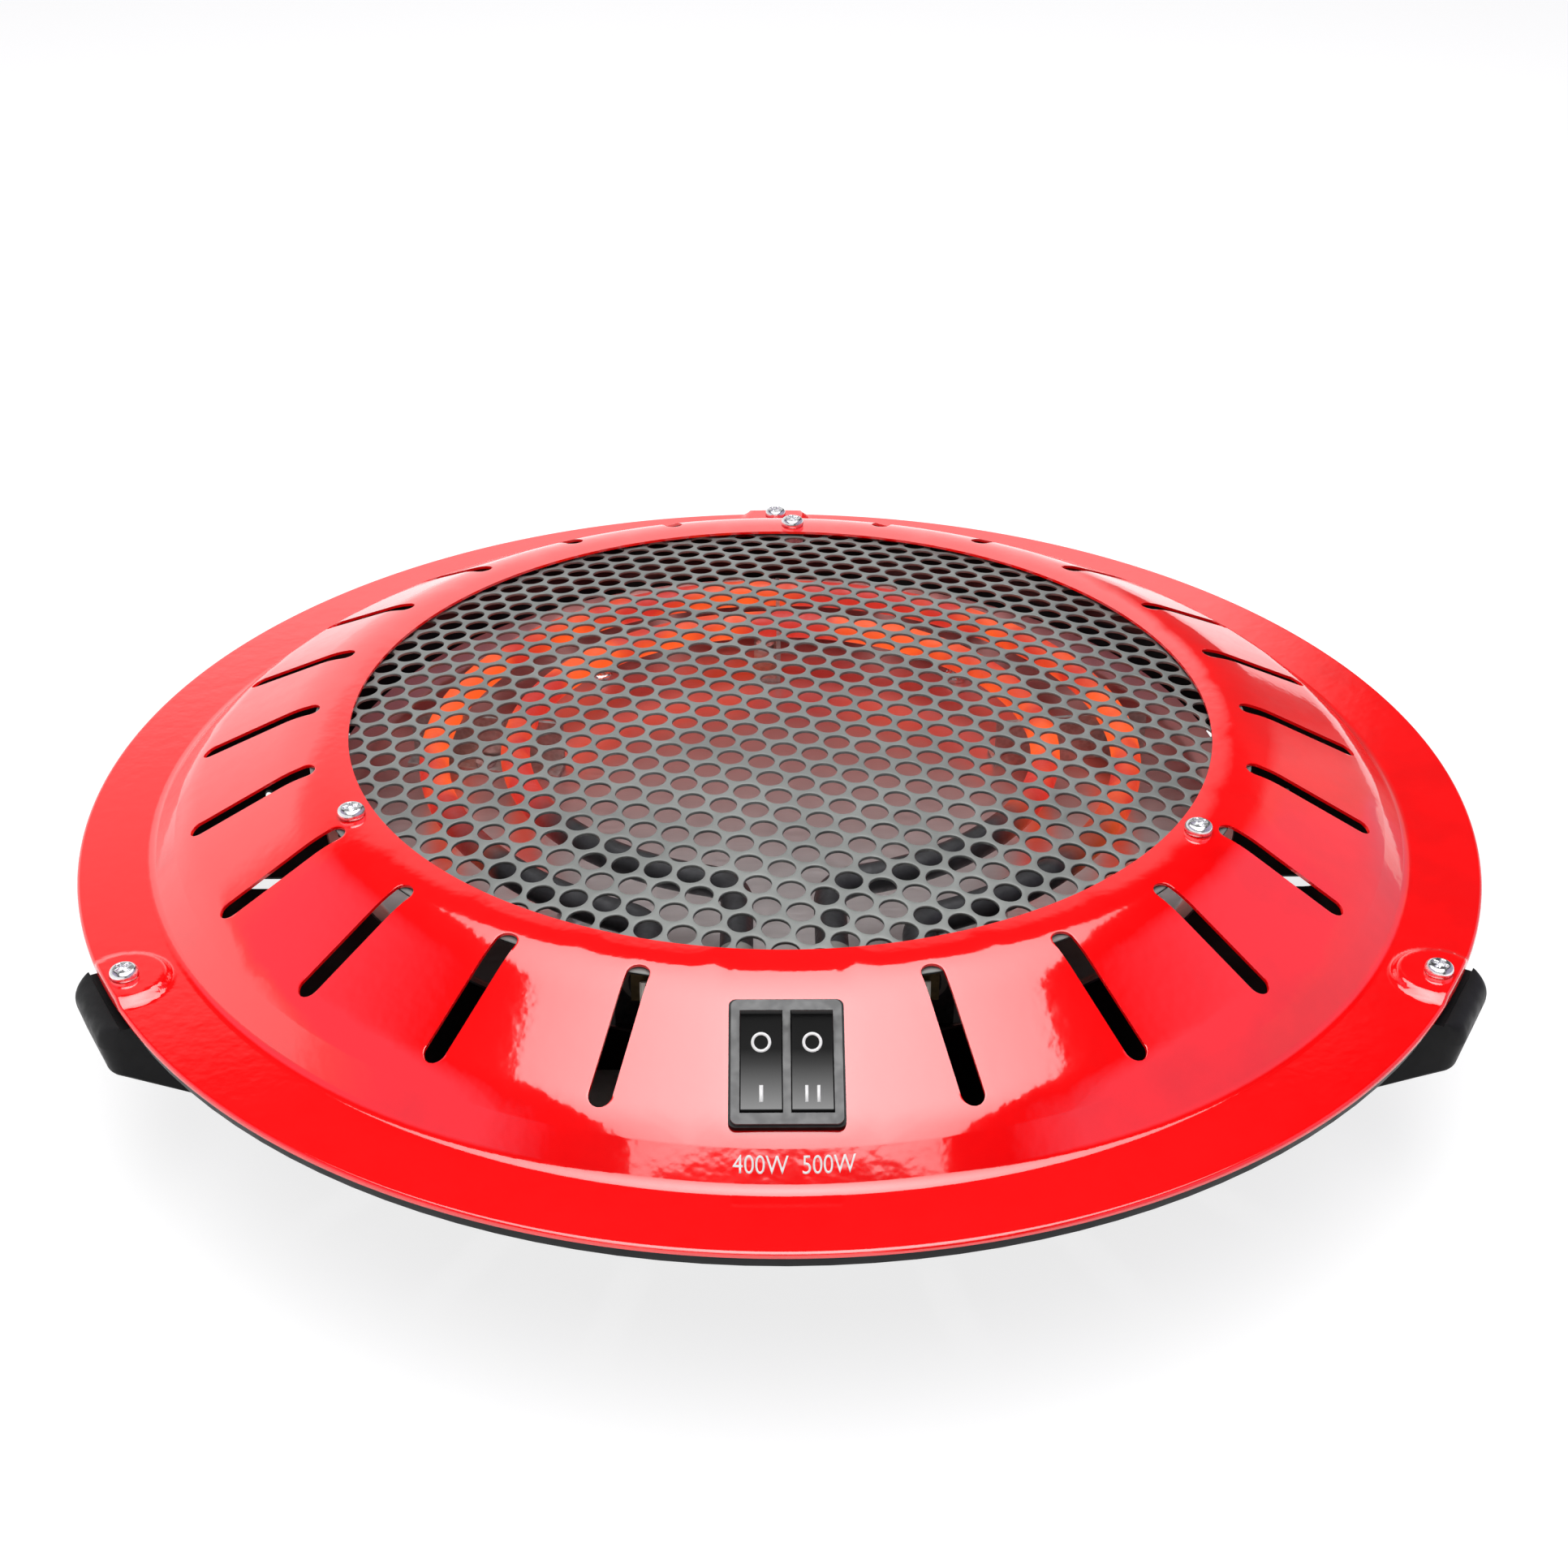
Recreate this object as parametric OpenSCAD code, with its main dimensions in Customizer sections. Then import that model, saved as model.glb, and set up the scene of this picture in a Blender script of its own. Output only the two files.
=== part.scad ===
// Electric brazier: a low round heater that stands on three feet under a table.
// The origin is on the brazier's axis at the floor. +Z is up, and the switch faces -Y, the front.
// Azimuths are counted from the front, and grow towards -X. Sizes are in millimetres and degrees.

/* [Cover] */
// Diameter over the rim
rim_d = 380; // [370:1:400]
// Height of the flange's top face above the floor
flange_z = 56; // [54:0.5:64]
// Radial width of the flat flange
flange_w = 17.6; // [17:0.1:19]
// Thickness of the cover's steel sheet
cover_t = 0.8; // [0.6:0.1:1]
// Radial width of the dome, from the flange to the opening over the grille
dome_w = 55.5; // [55:0.1:56.5]
// Height of the opening's edge above the flange
dome_h = 25.5; // [25:0.1:26.5]
// Width of the flat crown round the opening
crown_w = 3.1; // [2.5:0.1:3.6]
// Bend radius between the opening's edge and the dome's slope
crown_bend = 36; // [30:1:38]
// Slope of the dome, which the switch lies on
dome_slope = 26; // [25:0.5:27]
// Slope of the shoulder below the dome
shoulder_slope = 45; // [42:1:50]
// Bend radius between the dome and the shoulder
shoulder_bend = 25; // [15:1:28]
// Fillet between the shoulder and the flange
flange_fillet = 4; // [3:0.5:5]
// Depth of the rolled lip at the rim
lip_h = 3; // [2.5:0.1:3.5]

/* [Slots] */
// Angle from one air slot to the next
slot_step = 15; // [15:15:30]
// Width of an air slot
slot_w = 5; // [3:0.1:6]
// Distance of a slot's inner tip from the opening
slot_in = 9.3; // [8.5:0.1:13]
// Length of a slot, seen from above
slot_l = 33.6; // [26:0.1:34.4]

/* [Screws] */
// Distance of the foot screws from the rim
foot_screw_in = 5; // [4.6:0.1:5.4]
// Shank diameter of a foot screw
foot_screw_d = 4; // [3.5:0.1:4.5]
// Distance of the grille screws from the opening
grille_screw_out = 5.6; // [5.3:0.1:6]
// Shank diameter of a grille screw
grille_screw_d = 3.5; // [3:0.1:4]
// How far the grille screws are turned from the foot screws
grille_screw_turn = 2.3; // [0:0.1:4]
// Diameter of a screw head
head_d = 7; // [6.5:0.1:7.5]
// Height of a screw head
head_h = 2.3; // [2:0.1:2.6]
// Diameter of the raised pad under a foot screw
pad_d = 23; // [20:0.5:24]
// Height of that pad
pad_h = 1.5; // [1:0.1:2]

/* [Grille] */
// Distance between neighbouring holes
hole_pitch = 8.27; // [8.2:0.01:9]
// Diameter of a hole
hole_d = 6.8; // [6:0.1:7]
// Thickness of the perforated sheet
grille_t = 0.8; // [0.6:0.1:1]
// How far the grille reaches under the cover, past the opening
grille_lap = 10.6; // [9.8:0.1:11]
// How far the grille's dome reaches under the cover
grille_dome_lap = 1.1; // [0.4:0.1:1.6]
// Rise of the grille's dome at its centre
grille_rise = 8.3; // [5:0.1:10]
// Turn of the rows of holes
row_turn = -15; // [-30:1:30]

/* [Base] */
// Thickness of the pan's sheet
pan_t = 0.8; // [0.6:0.1:1]
// Depth of the pan below the flange
pan_depth = 32; // [30:0.5:34]
// Width of the pan's flange under the cover's rim
pan_flange_w = 15.5; // [15:0.1:16]
// How far the pan's wall leans in, from its flange to its bottom
pan_lean = 18.5; // [17.5:0.5:19.5]
// Depth of the pan's lip, which shows as a black band
pan_lip_h = 7; // [6:0.1:7.4]
// Bend radius at the pan's bottom corner
pan_bend = 10; // [6:0.5:12]
// Width of an air vent in the pan
vent_w = 6; // [4:0.1:7]
// Distance of a vent's inner tip from the bottom's corner, inwards
vent_in = 18; // [14:0.5:20]
// Distance of a vent's outer tip from that corner, up the wall
vent_out = 4; // [-2:0.5:6]

/* [Reflector] */
// Thickness of the reflector
reflector_t = 0.5; // [0.4:0.1:0.8]
// How far the reflector reaches past the opening above it
reflector_lap = 8.1; // [7.1:0.1:8.3]
// Width of the reflector's raised edge
reflector_edge_w = 6; // [5:0.1:6.4]
// Height of the reflector's edge above its flat face
reflector_edge_h = 5; // [4:0.1:6]
// Distance of the spacers under the reflector from its outer edge
spacer_in = 41; // [39:0.5:43]
// Diameter of a spacer
spacer_d = 10; // [8:0.5:12]
// Azimuth of the front spacers
spacer_az = 40; // [38:1:50]

/* [Heating elements] */
// Diameter of an element's tube
tube_d = 8; // [7:0.1:8.5]
// Distance of the outer element from the reflector's outer edge
outer_ring_in = 30; // [27:0.5:31]
// Distance from the outer element to the inner one
ring_step = 22; // [21:0.5:25]
// Height of the elements above the reflector
tube_z = 14.2; // [13:0.1:14.5]
// Distance of the inner element's ends from the middle
inner_lead_x = 11.4; // [10.5:0.1:12]
// Distance of the outer element's ends from the middle
outer_lead_x = 32.3; // [30:0.1:33]
// Bend radius from ring to end
lead_bend = 10; // [8:0.5:11]
// Thickness of a clip's plate
clip_t = 1.2; // [1:0.1:2]
// Azimuth of the side clips
clip_az = 100; // [90:1:110]

/* [Terminals] */
// Distance of the terminal bracket's ends from the reflector's bent edge
bracket_end_in = 1.2; // [1.2:0.1:2]
// Thickness of the bracket
bracket_t = 0.8; // [0.6:0.1:1]
// Width of the bracket
bracket_w = 80; // [78:0.5:81]
// Height of the bracket
bracket_h = 20; // [19:0.1:20.5]
// Diameter of a ceramic bushing in its hole
bushing_d = 10; // [9.5:0.1:10.5]
// Length of a ceramic bushing
bushing_l = 9; // [8:0.1:9.5]
// Width of the terminal block
block_w = 36; // [30:0.5:38]
// Height of the terminal block
block_h = 13; // [11:0.1:15]

/* [Switch] */
// Distance of the switch from the opening, along the floor
switch_out = 30.8; // [30.1:0.1:31.5]
// Width of the bezel
bezel_w = 25.5; // [25:0.1:27]
// Length of the bezel up the slope
bezel_l = 31; // [30.5:0.1:32]
// Thickness of the bezel
bezel_t = 2.4; // [2:0.1:2.8]
// Width of the housing behind the panel
housing_w = 22; // [21.6:0.1:22.4]
// Length of the housing behind the panel
housing_l = 28.2; // [27.6:0.1:28.6]
// Depth of the housing under the bezel's face
housing_h = 22; // [20:0.1:22.4]
// Wall of the housing on the outer side of each rocker window
window_side = 0.7; // [0.6:0.1:0.9]
// Length of a rocker window
window_l = 24.8; // [24:0.1:25.2]
// Width of the bar between the rockers
bar_w = 1.75; // [1.5:0.05:2.2]
// Angle a rocker tips from one side to the other
rocker_swing = 22; // [18:1:24]
// Depth of the rocker's pivot under the bezel's face
pivot_depth = 3; // [2.8:0.1:3.4]
// Diameter of a rocker's pivot stub
pivot_d = 2.4; // [2:0.1:2.6]

/* [Feet] */
// How far a foot stands out beyond the rim
foot_out = 7.6; // [6:0.1:9]
// Width of a foot
foot_w = 26.6; // [24:0.1:30]
// Rounding of a foot's upper outer edge
foot_roll = 6; // [4:0.5:7]
// How far a foot reaches in from the rim
foot_in = 40; // [39:0.5:41]
// Diameter of a rubber pad
sole_d = 14; // [12:0.5:15]
// How far a rubber pad stands out of its foot
sole_h = 2; // [1:0.1:3]

/* [Cord inlet] */
// Azimuth of the cord inlet
gland_az = 22.5; // [21.5:0.5:23.5]
// Distance of the cord inlet from the pan's bottom corner
gland_in = 15.5; // [15:0.5:17]
// Bore of the cord inlet
gland_bore = 6.2; // [5.5:0.1:7]
// Diameter of the gland's body
gland_d = 9.6; // [9:0.1:10.5]

/* [Clearances] */
// Between faces that seat on each other
seat_gap = 0.05; // [0.02:0.01:0.1]
// Around a pin that turns in its bore, on the radius
run_gap = 0.05; // [0.02:0.01:0.1]
// Around a screw or tube in its hole, on the radius
hole_gap = 0.2; // [0.1:0.05:0.4]
// Around a rocker in its window
rocker_gap = 0.15; // [0.1:0.05:0.25]
// Between a foot and the pan's bent sheet
foot_gap = 0.6; // [0.4:0.1:0.8]

/* [Hidden] */

// Every circle of more than 12 sides is a true circle.
$fn = 96;
// Largest turn between two neighbouring faces of a bent sheet
bend_step = 9;
// Overshoot of a cut past the face that it opens
cut = 1;

// Azimuth of the first foot, and the step to the next
foot_az = 60;
foot_step = 120;

// Radii that follow from the rim inwards
rim_r = rim_d / 2;
flange_r = rim_r - flange_w;
opening_r = flange_r - dome_w;
crown_r = opening_r + crown_w;
slot_r_in = opening_r + slot_in;
slot_r_out = slot_r_in + slot_l;
switch_r = opening_r + switch_out;
foot_screw_r = rim_r - foot_screw_in;
grille_screw_r = opening_r + grille_screw_out;
pan_mouth_r = rim_r - pan_flange_w;
pan_r = pan_mouth_r - pan_lean;
reflector_r = opening_r + reflector_lap;
reflector_flat_r = reflector_r - reflector_edge_w;
spacer_r = reflector_r - spacer_in;
outer_ring_r = reflector_r - outer_ring_in;
inner_ring_r = outer_ring_r - ring_step;
bracket_y = sqrt((reflector_flat_r - bracket_end_in) ^ 2 - (bracket_w / 2) ^ 2) - bracket_t;
foot_in_r = rim_r - foot_in;
gland_r = pan_r - gland_in;

// The cover's profile has its corners where the straight stretches would meet.
crown_corner_r = crown_r + crown_bend * tan(dome_slope / 2);
flange_corner_r = flange_r - flange_fillet * tan(shoulder_slope / 2);
shoulder_corner_r = (tan(shoulder_slope) * flange_corner_r - dome_h - tan(dome_slope) * crown_corner_r)
    / (tan(shoulder_slope) - tan(dome_slope));
shoulder_corner_z = tan(shoulder_slope) * (flange_corner_r - shoulder_corner_r);
rim_bend = 1.5;
cover_path = [
    [opening_r, dome_h], [crown_corner_r, dome_h], [shoulder_corner_r, shoulder_corner_z],
    [flange_corner_r, 0], [rim_r, 0], [rim_r, -lip_h]
];
cover_bends = [crown_bend, shoulder_bend, flange_fillet, rim_bend];

// Height above the flange of the cover's upper face in its crown bend
function crown_z(r) = dome_h - (r <= crown_r ? 0 : crown_bend - sqrt(crown_bend ^ 2 - (r - crown_r) ^ 2));
// Height above the flange of the cover's upper face on its straight slope
function slope_z(r) = dome_h - tan(dome_slope) * (r - crown_corner_r);

// The pan hangs under the cover's flange, and its lip hangs inside the cover's lip.
pan_flange_z = -cover_t - seat_gap;
pan_lip_r = rim_r - cover_t - hole_gap;
pan_mouth_bend = 3;
pan_path = [
    [0, -pan_depth], [pan_r, -pan_depth], [pan_mouth_r, pan_flange_z],
    [pan_lip_r, pan_flange_z], [pan_lip_r, -pan_lip_h]
];
pan_bends = [pan_bend, pan_mouth_bend, rim_bend];
pan_under_z = -pan_depth - pan_t;

reflector_bend = 3;
reflector_path = [[0, 0], [reflector_flat_r, 0], [reflector_r, reflector_edge_h]];

// The grille's flat rim is pressed up against the cover's underside by its screws.
grille_r = opening_r + grille_lap;
grille_dome_r = opening_r + grille_dome_lap;
grille_bend_turn = asin((grille_r - crown_r) / crown_bend);
// The faces of the cover's crown lie this much inside its true bend.
crown_sag = crown_bend * (1 - cos(bend_step / 2));
grille_z = crown_z(grille_r) - cover_t / cos(grille_bend_turn) - crown_sag - seat_gap;
grille_ring_r = [grille_dome_r * 0.15, grille_dome_r * 0.42, grille_dome_r * 0.7, grille_dome_r + 1];
grille_sides = 18;
grille_rim_in = grille_dome_r - 1;
// The lattice passes through this hole, measured from the axis.
hole_origin = [2.1, -12.35];
hole_rows = ceil(grille_r / hole_pitch) + 2;
// Steel left between a hole and the sheet's edge, and between a hole and a screw's hole
hole_edge_in = 2.6;
hole_margin = 0.3;
// Distances that keep a hole's centre inside the sheet's edge and away from a screw
hole_limit = grille_r - hole_edge_in - hole_d / 2;
hole_screw_gap = hole_d / 2 + grille_screw_d / 2 + hole_gap + hole_margin;

inner_screw_z = dome_h + seat_gap;
inner_nut_h = 2.8;
inner_nut_d = 7;
inner_shank_l = 7.2;
outer_shank_l = 15;

// The bezel's face is the switch frame's XY plane, with Y up the slope.
switch_seat_z = slope_z(switch_r) + seat_gap;
switch_y = -(switch_r + bezel_t * sin(dome_slope));
switch_z = flange_z + switch_seat_z + bezel_t * cos(dome_slope);
bezel_edge = 0.8;
window_w = housing_w - 2 * window_side;
rocker_w = (window_w - bar_w) / 2 - 2 * rocker_gap;
rocker_x = (window_w + bar_w) / 4;
rocker_end_r = window_l / 2 - 0.2;
// A pressed rocker's face lies this far under the bezel's face.
rocker_sunk = 0.3;
rocker_valley = (pivot_depth - rocker_sunk) / cos(rocker_swing / 2);
rocker_low = 3.5;
rocker_chamfer = 1.45;
pocket_h = 9.2;
tab_w = 4.8;
tab_t = 0.8;
tab_l = 8;
tab_x = 5.6;
tab_pitch = 8;

lead_x = [-outer_lead_x, -inner_lead_x, inner_lead_x, outer_lead_x];
lead_z = flange_z + tube_z;
lead_end_y = -(bracket_y + 5);
stud_d = 3;
stud_l = 3.5;
blade_w = 6.3;
blade_t = 0.8;
blade_l = 8;
bracket_tab_x = 21.8;
bracket_tab_l = 10;
rivet_d = 3;
rivet_head_d = 5.5;
rivet_head_h = 1;

// The cold ends and their sleeves are this much thicker than the ring.
sleeve_extra = 0.2;
sleeve_l = 2;
sleeve_lap = 0.4;

clip_in_r = inner_ring_r - 11;
clip_out_r = outer_ring_r + 11;
clip_foot_w = 8;
clip_azimuths = [-clip_az, clip_az, 180];
spacer_azimuths = [-180 + spacer_az, -spacer_az, spacer_az, 180 - spacer_az];
spacer_screw_d = 4;
spacer_nut_d = 7.6;
spacer_nut_h = 3;

cutout_at = [30, 18 - bracket_y];
cutout_d = 15;
cutout_h = 7;
cutout_ear_x = 12;
cutout_tab_x = 4;
cutout_tab_l = 7;

block_at = [-38, 44 - pan_r];
block_l = 16;
block_ways = 3;
block_screw_d = 4;
// A clamping screw reaches this far below the middle of the block.
block_screw_in = 2.2;
earth_at = [14, 38 - pan_r];

foot_azimuths = [for (k = [0:2]) foot_az + k * foot_step];
foot_top_z = pan_flange_z - pan_t - seat_gap;
foot_out_r = rim_r + foot_out;
foot_sole_z = sole_h - flange_z;
foot_knee = [rim_r + 0.4, -38];
foot_toe_r = rim_r - 22;
foot_toe_rise = 1.6;
foot_corner = 5;
sole_r = foot_in_r + sole_d / 2 + 1.2;
sole_sunk = 1.5;
foot_lip_gap = 0.8;
foot_bore_l = 18;

gland_collar_d = 15;
gland_collar_h = 2.5;
gland_nose_l = 6;
gland_nut_d = 16;
gland_nut_h = 4;
gland_inside = 6;
wire_d = 2.2;
// Between a wire's end and the metal that it is joined to
wire_end_gap = 0.2;

// Two-dimensional vectors
function unit(v) = v / norm(v);
function left_of(v) = [-v.y, v.x];
function turn_of(a, b) = a.x * b.y - a.y * b.x;
function clamp1(x) = max(-1, min(1, x));

// Points of one rounded corner b between a and c
function corner_arc(a, b, c, r) =
    let (
        d1 = unit(b - a),
        d2 = unit(c - b),
        phi = acos(clamp1(d1 * d2)),
        side = sign(turn_of(d1, d2)) * left_of(d1),
        start = b - d1 * r * tan(phi / 2),
        n = max(2, ceil(phi / bend_step))
    )
    r < 0.01 ? [b] : [for (k = [0:n]) start + r * (d1 * sin(phi * k / n) + side * (1 - cos(phi * k / n)))];

// An open path with its inner corners rounded
function rounded(p, radii) = concat(
    [p[0]],
    [for (i = [1:len(p) - 2]) each corner_arc(p[i - 1], p[i], p[i + 1], radii[i - 1])],
    [p[len(p) - 1]]
);

// A closed outline with its corners rounded
function rounded_loop(p, radii) = [
    for (i = [0:len(p) - 1])
        each corner_arc(p[(i + len(p) - 1) % len(p)], p[i], p[(i + 1) % len(p)], radii[i])
];

// The same path moved t to its right
function beside(p, t) =
    let (n = [for (i = [0:len(p) - 2]) -left_of(unit(p[i + 1] - p[i]))], last = len(p) - 1)
    [for (i = [0:last])
        i == 0 ? p[0] + t * n[0]
        : i == last ? p[last] + t * n[last - 1]
        : p[i] + t * (n[i - 1] + n[i]) / (1 + n[i - 1] * n[i])];

// Bend radii of that path: a right turn gets tighter and a left turn wider.
function beside_bends(p, radii, t) = [
    for (i = [0:len(radii) - 1])
        max(0.05, radii[i] + t * sign(turn_of(p[i + 1] - p[i], p[i + 2] - p[i + 1])))
];

// Turns a sheet of thickness t round the axis. The path is its upper face, from the axis outwards.
module spun_sheet(path, radii, t) {
    upper = rounded(path, radii);
    lower = rounded(beside(path, t), beside_bends(path, radii, t));
    rotate_extrude() polygon(concat(upper, [for (i = [len(lower) - 1:-1:0]) lower[i]]));
}

// A point at an azimuth and radius
function azimuth_point(az, r) = [-r * sin(az), -r * cos(az)];

// Places its children at a radius and azimuth, with their +X outwards.
module at_azimuth(az, r) {
    rotate([0, 0, -90 - az]) translate([r, 0, 0]) children();
}

// A stadium-shaped cutter along X, from x_in to x_out
module slot_cutter(x_in, x_out, w, z_low, z_high) {
    translate([0, 0, z_low]) linear_extrude(z_high - z_low) {
        translate([x_in + w / 2, -w / 2]) square([x_out - x_in - w, w]);
        for (x = [x_in + w / 2, x_out - w / 2]) translate([x, 0]) circle(d = w);
    }
}

// A pan-head screw with a cross recess, its seat at z = 0 and its shank downwards
module pan_screw(shank_d, shank_l) {
    edge = head_h * 0.6;
    recess_w = 1.1;
    recess_l = head_d * 0.58;
    recess_h = head_h * 0.55;
    difference() {
        rotate_extrude() polygon(concat(
            [[0, -shank_l], [shank_d / 2, -shank_l], [shank_d / 2, 0], [head_d / 2, 0]],
            rounded([[head_d / 2, 0.1], [head_d / 2, head_h], [0, head_h]], [edge])
        ));
        for (turn = [0, 90]) rotate([0, 0, turn])
            translate([-recess_l / 2, -recess_w / 2, head_h - recess_h])
                cube([recess_l, recess_w, recess_h + cut]);
    }
}

// A hexagon nut on z = 0, upwards
module nut(flats, h, bore) {
    difference() {
        cylinder(d = flats / cos(30), h = h, $fn = 6);
        translate([0, 0, -cut]) cylinder(d = bore, h = h + 2 * cut);
    }
}

// A rivet through a stack from z_low to z_high, with a head on each side
module rivet(z_low, z_high) {
    translate([0, 0, z_low - rivet_head_h]) cylinder(d = rivet_head_d, h = rivet_head_h);
    translate([0, 0, z_low - rivet_head_h / 2]) cylinder(d = rivet_d, h = z_high - z_low + rivet_head_h);
    translate([0, 0, z_high]) cylinder(d = rivet_head_d, h = rivet_head_h);
}

module in_switch_frame() {
    translate([0, switch_y, switch_z]) rotate([dome_slope, 0, 0]) children();
}

module top_cover() {
    color("red") translate([0, 0, flange_z]) difference() {
        union() {
            spun_sheet(cover_path, cover_bends, cover_t);
            for (az = foot_azimuths) foot_screw_pad(az);
        }
        for (az = foot_azimuths) foot_screw_pad_hollow(az);
        for (az = [slot_step:slot_step:180 - slot_step], side = [-1, 1])
            at_azimuth(side * az, 0) slot_cutter(slot_r_in, slot_r_out, slot_w, -lip_h, dome_h + cut);
        for (az = foot_azimuths) {
            at_azimuth(az, foot_screw_r) translate([0, 0, -2 * cover_t])
                cylinder(d = foot_screw_d + 2 * hole_gap, h = pad_h + 4 * cover_t);
            at_azimuth(az + grille_screw_turn, grille_screw_r) translate([0, 0, dome_h - 4 * cover_t])
                cylinder(d = grille_screw_d + 2 * hole_gap, h = 8 * cover_t);
        }
        translate([0, 0, -flange_z]) in_switch_frame() translate([0, 0, -bezel_t])
            cube([housing_w + 2 * hole_gap, housing_l + 2 * hole_gap, 6 * cover_t], center = true);
    }
}

// The raised half-round pad runs out at the rim.
module foot_screw_pad(az) {
    intersection() {
        at_azimuth(az, foot_screw_r) translate([0, 0, -cover_t / 2])
            cylinder(d1 = pad_d + cover_t / 2, d2 = pad_d - 2 * pad_h, h = pad_h + cover_t / 2);
        translate([0, 0, -cover_t]) cylinder(r = rim_r - 0.3, h = pad_h + 2 * cover_t);
    }
}

module foot_screw_pad_hollow(az) {
    intersection() {
        at_azimuth(az, foot_screw_r) translate([0, 0, -cover_t - cut])
            cylinder(d = pad_d - 2 * pad_h - 2 * cover_t, h = pad_h + cut);
        translate([0, 0, -cover_t - cut]) cylinder(r = rim_r - rim_bend - cover_t, h = pad_h + 2 * cut);
    }
}

// Height of the dome over the grille's rim, at a distance from the axis
function grille_dome_z(r) = grille_rise * max(0, 1 - (r / grille_dome_r) ^ 2);

// The domed sheet is made of flat facets, in rings around a flat middle.
module grille_dome_sheet() {
    n = grille_sides;
    rings = len(grille_ring_r);
    m = rings * n;
    points = [
        for (z = [0, -grille_t], r = grille_ring_r, k = [0:n - 1])
            [r * cos(k * 360 / n), r * sin(k * 360 / n), grille_dome_z(r) + z]
    ];
    middles = [[for (k = [0:n - 1]) n - 1 - k], [for (k = [0:n - 1]) m + k]];
    sides = [
        for (j = [0:rings - 2], k = [0:n - 1])
            let (a = j * n + k, b = j * n + (k + 1) % n)
            each [[a, b, b + n, a + n], [m + a + n, m + b + n, m + b, m + a]]
    ];
    edge = [
        for (k = [0:n - 1])
            let (a = (rings - 1) * n + k, b = (rings - 1) * n + (k + 1) % n) [a, m + a, m + b, b]
    ];
    polyhedron(points, [for (f = concat(middles, sides)) f, for (f = edge) [f[3], f[2], f[1], f[0]]]);
}

module grille() {
    color("dimgray") translate([0, 0, flange_z + grille_z]) difference() {
        union() {
            grille_dome_sheet();
            translate([0, 0, -grille_t]) difference() {
                cylinder(r = grille_r, h = grille_t);
                translate([0, 0, -cut]) cylinder(r = grille_rim_in, h = grille_t + 2 * cut);
            }
        }
        for (j = [-hole_rows:hole_rows], i = [-hole_rows:hole_rows]) {
            along = (i + j / 2) * hole_pitch;
            across = j * hole_pitch * sin(60);
            at = hole_origin + [
                along * cos(row_turn) - across * sin(row_turn),
                along * sin(row_turn) + across * cos(row_turn)
            ];
            screw_gaps = [
                for (az = foot_azimuths) norm(at - azimuth_point(az + grille_screw_turn, grille_screw_r))
            ];
            if (norm(at) < hole_limit && min(screw_gaps) > hole_screw_gap)
                translate([at.x, at.y, -2 * grille_t]) cylinder(d = hole_d, h = grille_rise + 4 * grille_t);
        }
        for (az = foot_azimuths) at_azimuth(az + grille_screw_turn, grille_screw_r)
            translate([0, 0, -grille_t - cut])
                cylinder(d = grille_screw_d + 2 * hole_gap, h = grille_t + 2 * cut);
    }
}

module inner_screws() {
    color("silver") for (az = foot_azimuths)
        at_azimuth(az + grille_screw_turn, grille_screw_r) translate([0, 0, flange_z + inner_screw_z])
            pan_screw(grille_screw_d, inner_shank_l);
}

module inner_nuts() {
    color("silver") for (az = foot_azimuths)
        at_azimuth(az + grille_screw_turn, grille_screw_r)
            translate([0, 0, flange_z + grille_z - grille_t - seat_gap - inner_nut_h])
                nut(inner_nut_d, inner_nut_h, grille_screw_d + 2 * run_gap);
}

module outer_screws() {
    color("silver") for (az = foot_azimuths)
        at_azimuth(az, foot_screw_r) translate([0, 0, flange_z + pad_h + seat_gap])
            pan_screw(foot_screw_d, outer_shank_l + pad_h);
}

module base_pan() {
    color("#202022") translate([0, 0, flange_z]) difference() {
        spun_sheet(pan_path, pan_bends, pan_t);
        for (az = [slot_step:slot_step:180 - slot_step], side = [-1, 1])
            if (az % foot_az != 0 || az == 2 * foot_az)
                at_azimuth(side * az, 0)
                    slot_cutter(pan_r - vent_in, pan_r + vent_out, vent_w, pan_under_z - cut, -lip_h - pan_t);
        for (az = foot_azimuths) at_azimuth(az, foot_screw_r) translate([0, 0, -4 * pan_t])
            cylinder(d = foot_screw_d + 2 * hole_gap, h = 6 * pan_t);
        for (az = spacer_azimuths) at_azimuth(az, spacer_r) translate([0, 0, pan_under_z - cut])
            cylinder(d = spacer_screw_d + 2 * hole_gap, h = pan_t + 2 * cut);
        at_azimuth(gland_az, gland_r) translate([0, 0, pan_under_z - cut])
            cylinder(d = gland_d + 2 * hole_gap, h = pan_t + 2 * cut);
        translate([earth_at.x, earth_at.y, pan_under_z - cut])
            cylinder(d = spacer_screw_d + 2 * hole_gap, h = pan_t + 2 * cut);
    }
}

module reflector() {
    color("lightgray") translate([0, 0, flange_z]) difference() {
        spun_sheet(reflector_path, [reflector_bend], reflector_t);
        for (az = spacer_azimuths) at_azimuth(az, spacer_r) translate([0, 0, -reflector_t - cut])
            cylinder(d = spacer_screw_d + 2 * hole_gap, h = reflector_t + 2 * cut);
        for (az = clip_azimuths) at_azimuth(az, spacer_r) translate([0, clip_foot_w / 2, 0])
            reflector_rivet_hole();
        for (x = [-bracket_tab_x, bracket_tab_x])
            translate([x, -bracket_y + bracket_tab_l / 2, 0]) reflector_rivet_hole();
        for (x = [-cutout_ear_x, cutout_ear_x])
            translate([cutout_at.x + x, cutout_at.y, 0]) reflector_rivet_hole();
    }
}

module reflector_rivet_hole() {
    translate([0, 0, -reflector_t - cut]) cylinder(d = rivet_d + 2 * run_gap, h = reflector_t + 2 * cut);
}

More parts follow.
